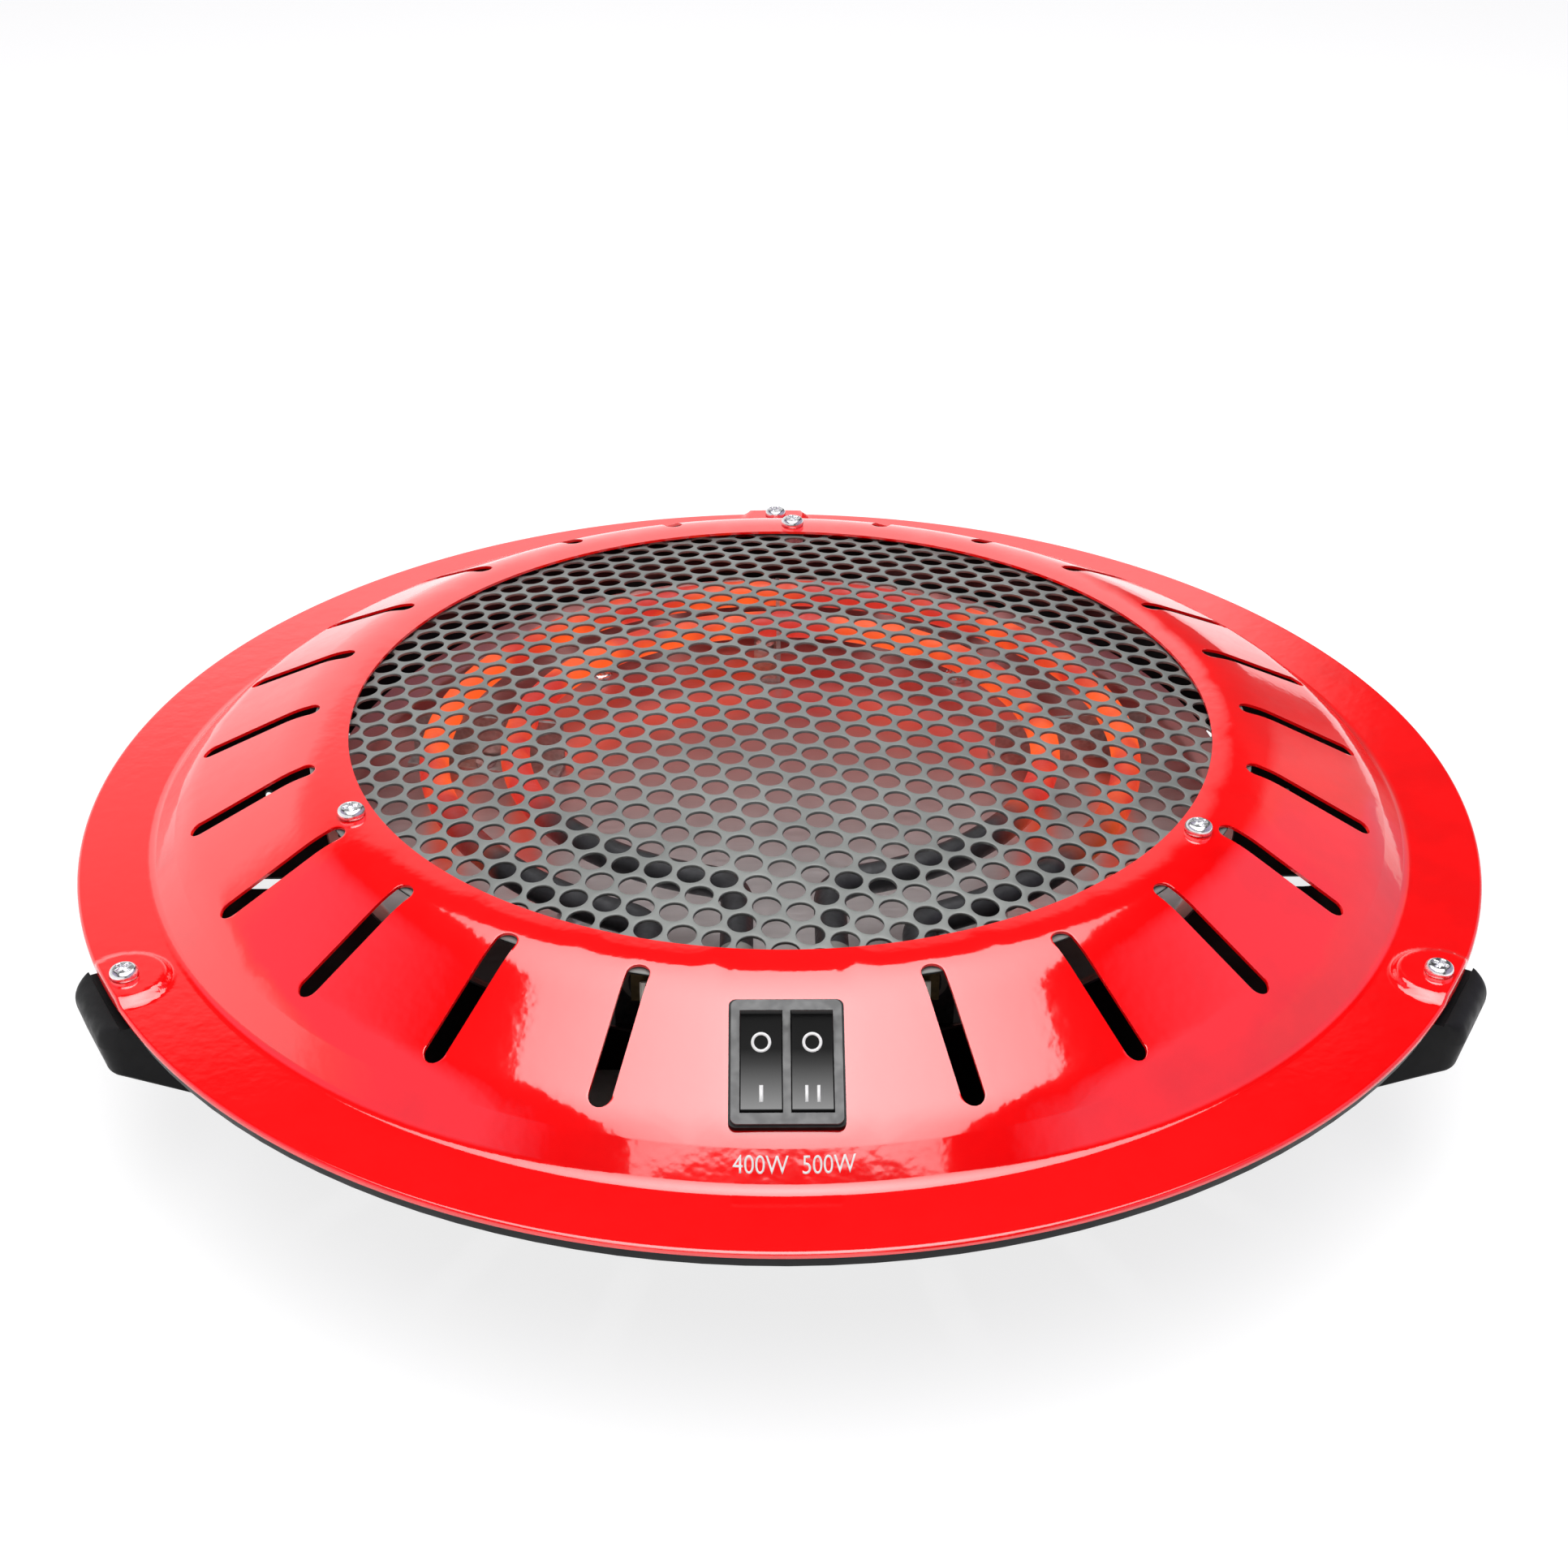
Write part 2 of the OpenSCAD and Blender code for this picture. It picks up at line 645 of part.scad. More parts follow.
module reflector_spacers() {
    color("silver") for (az = spacer_azimuths) at_azimuth(az, spacer_r)
        translate([0, 0, flange_z - pan_depth + seat_gap]) difference() {
            height = pan_depth - reflector_t - 2 * seat_gap;
            cylinder(d = spacer_d, h = height);
            translate([0, 0, -cut]) cylinder(d = spacer_screw_d + 2 * hole_gap, h = height + 2 * cut);
        }
}

module reflector_screws() {
    color("silver") for (az = spacer_azimuths) at_azimuth(az, spacer_r)
        translate([0, 0, flange_z + seat_gap])
            pan_screw(spacer_screw_d, pan_depth + pan_t + spacer_nut_h + 2);
}

module reflector_nuts() {
    color("silver") for (az = spacer_azimuths) at_azimuth(az, spacer_r)
        translate([0, 0, flange_z + pan_under_z - seat_gap - spacer_nut_h])
            nut(spacer_nut_d, spacer_nut_h, spacer_screw_d + 2 * run_gap);
}

// A ring of tube whose two ends bend forwards and run out to the terminals.
// A short straight sleeve, a hair thicker than the tube, joins the ring to each bend.
module bent_element(ring_r, lead_x) {
    reach = ring_r + lead_bend;
    bend_x = lead_x + lead_bend;
    gap_half = asin(bend_x / norm([reach, sleeve_l])) + atan(sleeve_l / reach);
    bend_y = -reach * cos(gap_half) - sleeve_l * sin(gap_half);
    translate([0, 0, lead_z]) {
        rotate([0, 0, -90 + gap_half]) rotate_extrude(angle = 360 - 2 * gap_half)
            translate([ring_r, 0]) circle(d = tube_d);
        for (side = [0, 1]) mirror([side, 0, 0]) {
            rotate([0, 0, -90 + gap_half]) translate([ring_r, sleeve_lap, 0]) rotate([90, 0, 0])
                cylinder(d = tube_d + sleeve_extra, h = sleeve_l + 2 * sleeve_lap);
            translate([bend_x, bend_y, 0]) rotate([0, 0, 90 + gap_half]) rotate_extrude(angle = 90 - gap_half)
                translate([lead_bend, 0]) circle(d = tube_d);
            translate([lead_x, bend_y + sleeve_lap, 0]) rotate([90, 0, 0])
                cylinder(d = tube_d + sleeve_extra, h = bend_y + sleeve_lap - lead_end_y);
        }
    }
}

module inner_element() {
    color("orangered") bent_element(inner_ring_r, inner_lead_x);
}

module outer_element() {
    color("orangered") bent_element(outer_ring_r, outer_lead_x);
}

// Each clip is an upright strip with two saddles, on a folded foot.
module element_clips() {
    color("gray") for (az = clip_azimuths) at_azimuth(az, 0)
        translate([0, 0, flange_z + seat_gap]) difference() {
            union() {
                translate([clip_in_r, -clip_t / 2, 0])
                    cube([clip_out_r - clip_in_r, clip_t, tube_z - seat_gap]);
                translate([clip_in_r, -clip_t / 2, 0]) cube([clip_out_r - clip_in_r, clip_foot_w, clip_t]);
            }
            for (r = [inner_ring_r, outer_ring_r]) translate([r, 0, tube_z - seat_gap])
                rotate([90, 0, 0]) cylinder(d = tube_d + 4 * run_gap, h = 4 * clip_foot_w, center = true);
            translate([spacer_r, clip_foot_w / 2, -cut])
                cylinder(d = rivet_d + 2 * run_gap, h = clip_t + 2 * cut);
        }
}

module clip_rivets() {
    color("silver") for (az = clip_azimuths) at_azimuth(az, spacer_r)
        translate([0, clip_foot_w / 2, flange_z]) rivet(-reflector_t - seat_gap, clip_t + 2 * seat_gap);
}

// The bracket stands across the front of the reflector and carries the elements' four ends.
module terminal_bracket() {
    color("silver") translate([0, -bracket_y, flange_z + seat_gap]) difference() {
        union() {
            translate([-bracket_w / 2, -bracket_t, 0]) cube([bracket_w, bracket_t, bracket_h]);
            for (x = [-bracket_tab_x, bracket_tab_x])
                translate([x - rivet_head_d, -bracket_t, 0])
                    cube([2 * rivet_head_d, bracket_tab_l, bracket_t]);
        }
        for (x = lead_x) translate([x, 0, tube_z - seat_gap]) rotate([90, 0, 0])
            cylinder(d = bushing_d + 2 * run_gap, h = 4 * bracket_t, center = true);
        for (x = [-bracket_tab_x, bracket_tab_x]) translate([x, bracket_tab_l / 2, -cut])
            cylinder(d = rivet_d + 2 * run_gap, h = bracket_t + 2 * cut);
    }
}

module bracket_rivets() {
    color("silver") for (x = [-bracket_tab_x, bracket_tab_x])
        translate([x, -bracket_y + bracket_tab_l / 2, flange_z])
            rivet(-reflector_t - seat_gap, bracket_t + 2 * seat_gap);
}

// Each bushing sits in the bracket with its collar on the front face.
module element_bushings() {
    collar_h = 2.5;
    inside = bushing_l - collar_h - bracket_t - seat_gap;
    color("ivory") for (x = lead_x) translate([x, -bracket_y, lead_z]) rotate([90, 0, 0]) difference() {
        union() {
            translate([0, 0, -inside]) cylinder(d = bushing_d, h = bushing_l);
            translate([0, 0, bracket_t + seat_gap]) cylinder(d = bushing_d + 1.6, h = collar_h);
        }
        translate([0, 0, -inside - cut])
            cylinder(d = tube_d + sleeve_extra + 2 * run_gap, h = bushing_l + 2 * cut);
    }
}

module element_terminals() {
    color("goldenrod") for (x = lead_x) translate([x, lead_end_y - seat_gap, lead_z]) {
        rotate([90, 0, 0]) cylinder(d = stud_d, h = stud_l);
        translate([-blade_w / 2, -stud_l - blade_t / 2, -stud_d / 2]) cube([blade_w, blade_t, blade_l]);
    }
}

module thermal_cutout() {
    ear_t = 0.8;
    color("#303030") translate([cutout_at.x, cutout_at.y, flange_z - reflector_t - seat_gap]) {
        difference() {
            union() {
                translate([0, 0, -cutout_h]) cylinder(d = cutout_d, h = cutout_h);
                translate([-cutout_ear_x, 0, -ear_t]) cylinder(d = 7, h = ear_t);
                translate([cutout_ear_x, 0, -ear_t]) cylinder(d = 7, h = ear_t);
                translate([-cutout_ear_x, -3.5, -ear_t]) cube([2 * cutout_ear_x, 7, ear_t]);
                for (x = [-cutout_tab_x, cutout_tab_x])
                    translate([x - tab_w / 2 + 0.4, -tab_t / 2, -cutout_h - cutout_tab_l])
                        cube([tab_w - 0.8, tab_t, cutout_tab_l + 1]);
            }
            for (x = [-cutout_ear_x, cutout_ear_x]) translate([x, 0, -ear_t - cut])
                cylinder(d = rivet_d + 2 * run_gap, h = ear_t + 2 * cut);
        }
    }
}

module cutout_rivets() {
    color("silver") for (x = [-cutout_ear_x, cutout_ear_x])
        translate([cutout_at.x + x, cutout_at.y, flange_z])
            rivet(-reflector_t - 0.8 - 2 * seat_gap, seat_gap);
}

module switch_housing() {
    corner = 1.6;
    latch_h = 1;
    latch_l = 10;
    join = 0.01;
    color("#151515") in_switch_frame() difference() {
        union() {
            translate([0, 0, -bezel_t]) linear_extrude(bezel_t - bezel_edge)
                rounded_rectangle(bezel_w, bezel_l, corner);
            translate([0, 0, -bezel_edge - join]) linear_extrude(bezel_edge + join)
                rounded_rectangle(bezel_w - 1, bezel_l - 1, corner);
            translate([-housing_w / 2, -housing_l / 2, -housing_h])
                cube([housing_w, housing_l, housing_h - bezel_t + 0.1]);
            for (side = [-1, 1]) translate([side * housing_w / 2, latch_l / 2, -bezel_t - 2 * cover_t])
                rotate([90, 0, 0]) linear_extrude(latch_l)
                    polygon([[-side * 0.3, 0], [side * latch_h, -0.4], [-side * 0.3, -5]]);
        }
        for (side = [-1, 1]) {
            translate([side * rocker_x - (rocker_w / 2 + rocker_gap), -window_l / 2, -pocket_h])
                cube([rocker_w + 2 * rocker_gap, window_l, pocket_h + cut]);
        }
        translate([0, 0, -pivot_depth]) rotate([0, 90, 0])
            cylinder(d = pivot_d + 2 * run_gap, h = housing_w + 4, center = true);
    }
}

module rounded_rectangle(w, l, r) {
    square([w - 2 * r, l], center = true);
    square([w, l - 2 * r], center = true);
    for (x = [-1, 1], y = [-1, 1]) translate([x * (w / 2 - r), y * (l / 2 - r)]) circle(r = r);
}

// A rocker's two faces meet in a valley over its pivot. It is drawn with its lower end pressed.
module rocker(side) {
    chamfer_y = rocker_end_r - rocker_chamfer;
    chamfer_z = rocker_valley + chamfer_y * tan(rocker_swing / 2);
    stub_out = (housing_w / 2 - 0.1) - rocker_x;
    stub_in = rocker_x - 0.1;
    in_switch_frame() translate([side * rocker_x, 0, -pivot_depth]) rotate([rocker_swing / 2, 0, 0]) {
        intersection() {
            rotate([0, 90, 0]) cylinder(r = rocker_end_r, h = rocker_w, center = true);
            rotate([90, 0, 90]) linear_extrude(rocker_w + cut, center = true) polygon([
                [-rocker_end_r, -rocker_low], [rocker_end_r, -rocker_low],
                [rocker_end_r, chamfer_z - rocker_chamfer], [chamfer_y, chamfer_z], [0, rocker_valley],
                [-chamfer_y, chamfer_z], [-rocker_end_r, chamfer_z - rocker_chamfer]
            ]);
        }
        rotate([0, side * 90, 0]) cylinder(d = pivot_d, h = stub_out);
        rotate([0, -side * 90, 0]) cylinder(d = pivot_d, h = stub_in);
    }
}

module left_rocker() {
    color("#1c1c1c") rocker(-1);
}

module right_rocker() {
    color("#1c1c1c") rocker(1);
}

module switch_tabs() {
    color("goldenrod") in_switch_frame() for (x = [-tab_x, tab_x], y = [-tab_pitch, 0, tab_pitch])
        translate([x - tab_t / 2, y - tab_w / 2, -housing_h - seat_gap - tab_l]) cube([tab_t, tab_w, tab_l]);
}

module terminal_block() {
    way = block_w / block_ways;
    color("ivory") translate([block_at.x, block_at.y, flange_z - pan_depth + seat_gap]) difference() {
        translate([-block_w / 2, -block_l / 2, 0]) cube([block_w, block_l, block_h]);
        for (k = [0:block_ways - 1]) translate([-block_w / 2 + (k + 0.5) * way, 0, 0]) {
            translate([0, 0, block_h / 2 - 1]) rotate([90, 0, 0])
                cylinder(d = 4.4, h = block_l + 2 * cut, center = true);
            translate([0, 0, block_h / 2 - block_screw_in])
                cylinder(d = block_screw_d + 2 * hole_gap, h = block_h);
        }
    }
}

module terminal_screws() {
    way = block_w / block_ways;
    color("goldenrod") translate([block_at.x, block_at.y, flange_z - pan_depth + seat_gap])
        for (k = [0:block_ways - 1])
            translate([-block_w / 2 + (k + 0.5) * way, 0, block_h / 2 - block_screw_in]) difference() {
                cylinder(d = block_screw_d, h = block_h / 2 + 1.5);
                translate([-block_screw_d, -0.4, block_h / 2 + 0.6]) cube([2 * block_screw_d, 0.8, 2]);
            }
}

module earth_screw() {
    color("silver") translate([earth_at.x, earth_at.y, flange_z - pan_depth + seat_gap])
        pan_screw(spacer_screw_d, pan_t + 5);
}

// The gland passes down through the pan's floor, and its nut holds it from inside.
module cable_gland() {
    outside = gland_collar_h + gland_nose_l;
    color("#202020") at_azimuth(gland_az, gland_r) translate([0, 0, flange_z + pan_under_z]) difference() {
        union() {
            translate([0, 0, -outside]) cylinder(d = gland_d, h = outside + pan_t + gland_inside);
            translate([0, 0, -seat_gap - gland_collar_h]) cylinder(d = gland_collar_d, h = gland_collar_h);
        }
        translate([0, 0, -outside - cut])
            cylinder(d = gland_bore, h = outside + pan_t + gland_inside + 2 * cut);
    }
}

module gland_nut() {
    color("#202020") at_azimuth(gland_az, gland_r) translate([0, 0, flange_z - pan_depth + seat_gap])
        nut(gland_nut_d, gland_nut_h, gland_d + 2 * run_gap);
}

// A point of the cubic curve through the ends a and d, drawn towards b and c
function curve_point(a, b, c, d, t) =
    (1 - t) ^ 3 * a + 3 * t * (1 - t) ^ 2 * b + 3 * t ^ 2 * (1 - t) * c + t ^ 3 * d;

// A wire that leaves a along a_pull and meets d along d_pull, swept as an eight-sided tube
module wire(a, a_pull, d, d_pull, reference = [0.35, 0.9, 0.2]) {
    steps = 12;
    sides = 8;
    path = [for (k = [0:steps]) curve_point(a, a + a_pull, d + d_pull, d, k / steps)];
    rings = [
        for (k = [0:steps])
            let (
                ahead = unit(path[min(k + 1, steps)] - path[max(k - 1, 0)]),
                across = unit(cross(ahead, reference)),
                up = cross(across, ahead)
            )
            [
                for (s = [0:sides - 1])
                    path[k] + wire_d / 2 * (across * cos(s * 360 / sides) + up * sin(s * 360 / sides))
            ]
    ];
    skin = [
        for (k = [0:steps - 1], s = [0:sides - 1])
            let (p = k * sides + s, q = k * sides + (s + 1) % sides)
            each [[p, q + sides, p + sides], [p, q, q + sides]]
    ];
    ends = [[for (s = [0:sides - 1]) sides - 1 - s], [for (s = [0:sides - 1]) steps * sides + s]];
    polyhedron([for (r = rings) each r], concat(skin, ends));
}

// Points just below the ends of the switch's tabs, in the brazier's frame
tab_end_depth = housing_h + seat_gap + tab_l + wire_d / 2 + wire_end_gap;
function switch_tab_end(x, y) = [
    x,
    switch_y + y * cos(dome_slope) + tab_end_depth * sin(dome_slope),
    switch_z + y * sin(dome_slope) - tab_end_depth * cos(dome_slope)
];

// A point just in front of the blade of an element's end
function blade_end(x) = [
    x,
    lead_end_y - stud_l - blade_t - wire_d / 2 - wire_end_gap,
    lead_z + blade_l - stud_d
];

// A point just under one of the thermal cutout's two tabs
function cutout_end(side) = [
    cutout_at.x + side * cutout_tab_x,
    cutout_at.y,
    flange_z - reflector_t - cutout_h - cutout_tab_l - wire_d / 2
];

// A point at the mouth of one way of the terminal block, on its front or its back
function block_end(way, side) = [
    block_at.x + way * block_w / block_ways,
    block_at.y + side * (block_l / 2 + wire_d / 2),
    flange_z - pan_depth + block_h / 2 - 1
];

module internal_wires() {
    down = [0, 0, -8];
    earth_end = [
        earth_at.x - (head_d + wire_d) / 2 + 2 * wire_end_gap,
        earth_at.y,
        flange_z - pan_depth + wire_d / 2 + wire_end_gap
    ];
    color("white") {
        wire(switch_tab_end(-tab_x, tab_pitch), down, block_end(1, 1), [0, 26, 0]);
        wire(switch_tab_end(tab_x, tab_pitch), down, cutout_end(-1), down);
        wire(cutout_end(1), 1.5 * down, block_end(0, 1), [0, 30, 0]);
        wire(earth_end, [-14, -8, 2], block_end(-1, -1), [6, -8, 0]);
        for (side = [-1, 1]) {
            wire(
                switch_tab_end(side * tab_x, 0), [side * 22, 0, -6],
                blade_end(side * inner_lead_x), [side * 12, -8, -16]
            );
            wire(
                switch_tab_end(side * tab_x, -tab_pitch), [side * 20, 0, -10],
                blade_end(side * outer_lead_x), [0, -12, -25]
            );
        }
    }
}

// A foot's side outline, in radius and height over the flange. Its inner edge follows the pan's wall.
module foot(az) {
    wall = beside(pan_path, pan_t + foot_gap);
    wall_low = wall[1];
    wall_high = wall[2];
    lean = (wall_high.x - wall_low.x) / (wall_high.y - wall_low.y);
    seat_r = wall_low.x + (foot_top_z - wall_low.y) * lean + 1.5;
    lip_in = pan_lip_r - pan_t - foot_gap;
    lip_low = -pan_lip_h - foot_lip_gap;
    lip_out = rim_r + foot_lip_gap;
    outline = [
        [seat_r, foot_top_z], [wall_low.x, wall_low.y], [foot_in_r, wall_low.y],
        [foot_in_r, foot_sole_z], [foot_toe_r - 2, foot_sole_z], [foot_toe_r, foot_sole_z + foot_toe_rise],
        foot_knee, [foot_out_r, -lip_h - 2 * foot_roll], [foot_out_r, -lip_h - 0.6],
        [lip_out, -lip_h - 0.6], [lip_out, lip_low], [lip_in, lip_low], [lip_in, foot_top_z]
    ];
    radii = [0, 0, 2, 2, 1, 1, 2, 4, foot_roll, 0, 0, 0, 1.5];
    half = foot_w / 2;
    at_azimuth(az, 0) translate([0, 0, flange_z]) difference() {
        intersection() {
            rotate([90, 0, 0]) linear_extrude(foot_w, center = true) polygon(rounded_loop(outline, radii));
            translate([0, 0, -flange_z]) linear_extrude(flange_z) {
                translate([foot_in_r - cut, -half])
                    square([foot_out_r - foot_corner - foot_in_r + cut, foot_w]);
                translate([foot_in_r, -half + foot_corner])
                    square([foot_out_r - foot_in_r, foot_w - 2 * foot_corner]);
                for (y = [-1, 1]) translate([foot_out_r - foot_corner, y * (half - foot_corner)])
                    circle(r = foot_corner);
            }
        }
        translate([foot_screw_r, 0, foot_top_z - foot_bore_l])
            cylinder(d = foot_screw_d + 2 * run_gap, h = foot_bore_l + cut);
        translate([sole_r, 0, foot_sole_z - cut]) cylinder(d = sole_d + 2 * run_gap, h = sole_sunk + cut);
    }
}

module foot_left() {
    color("#2a2a2a") foot(foot_azimuths[0]);
}

module foot_right() {
    color("#2a2a2a") foot(foot_azimuths[2]);
}

module foot_back() {
    color("#2a2a2a") foot(foot_azimuths[1]);
}

module foot_pads() {
    color("#111111") for (az = foot_azimuths) at_azimuth(az, sole_r)
        cylinder(d = sole_d, h = sole_h + sole_sunk - seat_gap);
}

top_cover();
grille();
inner_screws();
inner_nuts();
outer_screws();
base_pan();
reflector();
reflector_spacers();
reflector_screws();
reflector_nuts();
inner_element();
outer_element();
element_clips();
clip_rivets();
terminal_bracket();
bracket_rivets();
element_bushings();
element_terminals();
thermal_cutout();
cutout_rivets();
switch_housing();
left_rocker();
right_rocker();
switch_tabs();
terminal_block();
terminal_screws();
earth_screw();
cable_gland();
gland_nut();
internal_wires();
foot_left();
foot_right();
foot_back();
foot_pads();
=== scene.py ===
"""Looks of a low round electric brazier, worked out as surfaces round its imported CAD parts."""

import math
from contextlib import contextmanager

import bmesh
import bpy
import numpy as np
from bpy.props import FloatProperty, FloatVectorProperty, IntProperty, PointerProperty
from mathutils import Matrix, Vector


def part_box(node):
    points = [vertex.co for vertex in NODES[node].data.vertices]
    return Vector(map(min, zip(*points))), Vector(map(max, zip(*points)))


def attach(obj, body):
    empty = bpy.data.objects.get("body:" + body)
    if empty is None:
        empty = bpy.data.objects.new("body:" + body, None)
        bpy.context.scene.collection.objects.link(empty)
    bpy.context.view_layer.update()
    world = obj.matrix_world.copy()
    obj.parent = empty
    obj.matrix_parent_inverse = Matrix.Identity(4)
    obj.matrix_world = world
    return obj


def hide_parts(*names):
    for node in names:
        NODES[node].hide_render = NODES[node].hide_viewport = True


bl_info = {
    "name": "Electric brazier",
    "version": (1, 0, 0),
    "blender": (4, 5, 0),
    "location": "3D View > Sidebar > Brazier",
    "description": "Builds the finished surfaces, materials and stage of a round electric brazier",
    "category": "Add Mesh",
}

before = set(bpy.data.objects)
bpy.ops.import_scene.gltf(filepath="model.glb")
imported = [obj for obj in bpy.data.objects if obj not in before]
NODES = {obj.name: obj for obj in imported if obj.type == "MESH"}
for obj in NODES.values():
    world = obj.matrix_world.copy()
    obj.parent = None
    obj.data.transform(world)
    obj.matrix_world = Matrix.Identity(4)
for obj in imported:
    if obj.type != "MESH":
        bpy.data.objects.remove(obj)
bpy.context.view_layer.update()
HEATER = "heater"

# Cover, in metres, with slopes in radians and azimuths in degrees; the dome's height is over the flange
FLANGE_Z = 0.056
RIM_R = 0.190
FLANGE_R = 0.1724
OPENING_R = 0.1169
CROWN_R = 0.120
CROWN_BEND = 0.036
SHOULDER_BEND = 0.025
FLANGE_FILLET = 0.004
RIM_BEND = 0.0009
LIP_H = 0.0012
DOME_H = 0.0255
DOME_SLOPE = math.radians(26)
SHOULDER_SLOPE = math.radians(45)
BELT_R = 0.164
SLOT_STEP = 15
SECTOR_HALF = SLOT_STEP / 2
SECTOR_ROWS = 22
SECTOR_SHARES = (0, 0.03, 0.1, 0.22, 0.4, 0.65, 1.0)
FLAT_STEP = 0.0006
WINDOW_HALF_L = 0.01285
WINDOW_HALF_W = 0.0112
RAISED_H = 0.0015
RAISED_R = 0.0115
RAISED_FADE = 0.0018

# Grille and screws
GRILLE_R = 0.1275
GRILLE_DOME_R = 0.118
GRILLE_T = 0.0008
GRILLE_RISE = 0.0083
ROW_TURN = math.radians(-15)
HOLE_ORIGIN = (0.0021, -0.01235)
CLOSED_MARGIN = 0.0014
SCREW_CLEAR_R = 0.00565
FOOT_AZIMUTHS = (60, 180, 300)
FOOT_SCREW_R = 0.185
GRILLE_SCREW_R = 0.1225
GRILLE_SCREW_TURN = 2.3
HEAD_R = 0.0035
HEAD_H = 0.0023
RECESS_DEPTH = 0.0014
RECESS_HALF_L = 0.0021
RECESS_HALF_W = 0.00062

# Heating tubes
TUBE_Z = 0.0702
INNER_LEAD_X = 0.0114
OUTER_LEAD_X = 0.0323
LEAD_END_Y = -0.115
LEAD_BEND = 0.010
BEND_RUN = 0.002

# Switch
SWITCH_ORIGIN = (0.0, -0.148752, 0.0742506)
SWITCH_UP = (0.0, -math.sin(DOME_SLOPE), math.cos(DOME_SLOPE))
ROCKER_X = 0.0055875
PIVOT_DEPTH = 0.003
ROCKER_TIP = math.radians(11)
ROCKER_VALLEY = 0.0027505
MARK_H = 0.0040
MARK_T = 0.00003
OFF_RING_R = 0.0022
OFF_HOLE_R = 0.00155
OFF_MARK_Y = 0.0046
ON_MARK_Y = -0.0072
TEXT_R = 0.1667

# Pan and feet
PAN_LIP_R = 0.1875
PAN_LIP_Z = 0.0517
PAN_FLOOR_Z = 0.0226
FOOT_SEAT_R = 0.1874
FOOT_SEAT_Z = 0.0543
FOOT_NOTCH_Z = 0.0514
FOOT_TOP_Z = 0.0524
FOOT_LIP_OUT = 0.1908
FOOT_OUT_R = 0.1958
FOOT_IN_R = 0.150
FOOT_HALF_W = 0.0133
FOOT_CORNER = 0.0042
LEG_HALF_L = 0.0052
LEG_HALF_W = 0.0066
PAD_R = 0.1556
PAD_HALF_W = 0.0048
PAD_ROUND = 0.0006

# Tones painted over a piece's own colour as light and shade: a painted glow reflection, painted shade and
# painted glow light
# painted reflection of the tubes' glow, laid over the reflector's back
PAINTED_GLOW_REFLECTION = (0.72, 0.34, 0.32, 1)
# painted shade on the reflector's outer front edge, under the cover
PAINTED_EDGE_SHADE = (0.03, 0.028, 0.028, 1)
# painted glow light: red-brown laid on the pan's inner back wall where the tubes would light it
PAINTED_GLOW_LIGHT = (0.30, 0.07, 0.065, 1)
# painted shade in the switch's rocker wells and on its frame's sides
PAINTED_RECESS_SHADE = (0.003, 0.003, 0.003, 1)

# Stage
LAMP_PLACE = (0.02, -0.13, 1.2)
LAMP_SIZE = (1.15, 1.96)
LAMP_POWER = 24.1
FLOOR_HALF = 4.0
CAMERA_PLACE = (-0.00581, -0.5319, 0.37002)
CAMERA_PITCH, CAMERA_YAW, CAMERA_ROLL = (math.radians(a) for a in (30.51, 0.738, 0.26))
CAMERA_LENS = 50.6


# Surfaces

def azimuth_point(azimuth, r):
    """Point at an azimuth, counted from the front to -X: minus the radius times its sine and cosine."""
    a = np.radians(azimuth)
    return np.stack([-r * np.sin(a), -r * np.cos(a)], axis=-1)


def placed_at(azimuth, r, across, z):
    """Points given by radius, distance across it and height, put at an azimuth."""
    a = math.radians(azimuth)
    x = -r * math.sin(a) - across * math.cos(a)
    y = -r * math.cos(a) + across * math.sin(a)
    return np.stack(np.broadcast_arrays(x, y, z), -1).reshape(-1, 3)


def turned(profile, sides):
    """Profile of radius and height turned round its axis: the three coordinates of its grid of points."""
    a = np.linspace(0, 2 * np.pi, sides, endpoint=False)
    r, z = profile[:, :1], profile[:, 1:]
    return r * np.cos(a), r * np.sin(a), np.repeat(z, sides, axis=1)


def grid_quads(rows, columns, wrap=False):
    """Quads between neighbouring rows and columns of a grid; with wrap the last column meets the first."""
    i = np.arange(rows - 1)[:, None]
    j = np.arange(columns if wrap else columns - 1)[None, :]
    k = (j + 1) % columns
    corners = [i * columns + j, i * columns + k, (i + 1) * columns + k, (i + 1) * columns + j]
    return np.stack(corners, axis=-1).reshape(-1, 4)


def closed_faces(rows, columns, first=0):
    """Faces of a grid that is wrapped round, with an end face across its first and its last row."""
    last = first + (rows - 1) * columns
    ends = [list(range(first + columns - 1, first - 1, -1)), list(range(last, last + columns))]
    return (grid_quads(rows, columns, wrap=True) + first).tolist() + ends


def joined(parts):
    """Several forms of points and quads as one, each form's quads counted on from the points before."""
    starts = np.cumsum([0] + [len(points) for points, _ in parts[:-1]])
    quads = [quads + start for (_, quads), start in zip(parts, starts)]
    return np.concatenate([points for points, _ in parts]), np.concatenate(quads)


def smooth_step(t):
    """Rises from 0 to 1 as three t squared less two t cubed, held at both ends."""
    t = np.clip(t, 0, 1)
    return t * t * (3 - 2 * t)


def rounded_path(corners, radii, step):
    """Open path in a plane whose inner corners are arcs of the given radii, a point every few degrees."""
    corners = [np.array(c, float) for c in corners]
    out = [corners[0]]
    for a, b, c, radius in zip(corners, corners[1:], corners[2:], radii):
        d1, d2 = (b - a) / np.linalg.norm(b - a), (c - b) / np.linalg.norm(c - b)
        turn = math.acos(np.clip(d1 @ d2, -1, 1))
        side = np.sign(d1[0] * d2[1] - d1[1] * d2[0]) * np.array([-d1[1], d1[0]])
        start = b - d1 * radius * math.tan(turn / 2)
        t = np.linspace(0, turn, max(3, int(math.degrees(turn) / step) + 1))[:, None]
        out.extend(start + radius * (d1 * np.sin(t) + side * (1 - np.cos(t))))
    out.append(corners[-1])
    return np.array(out)


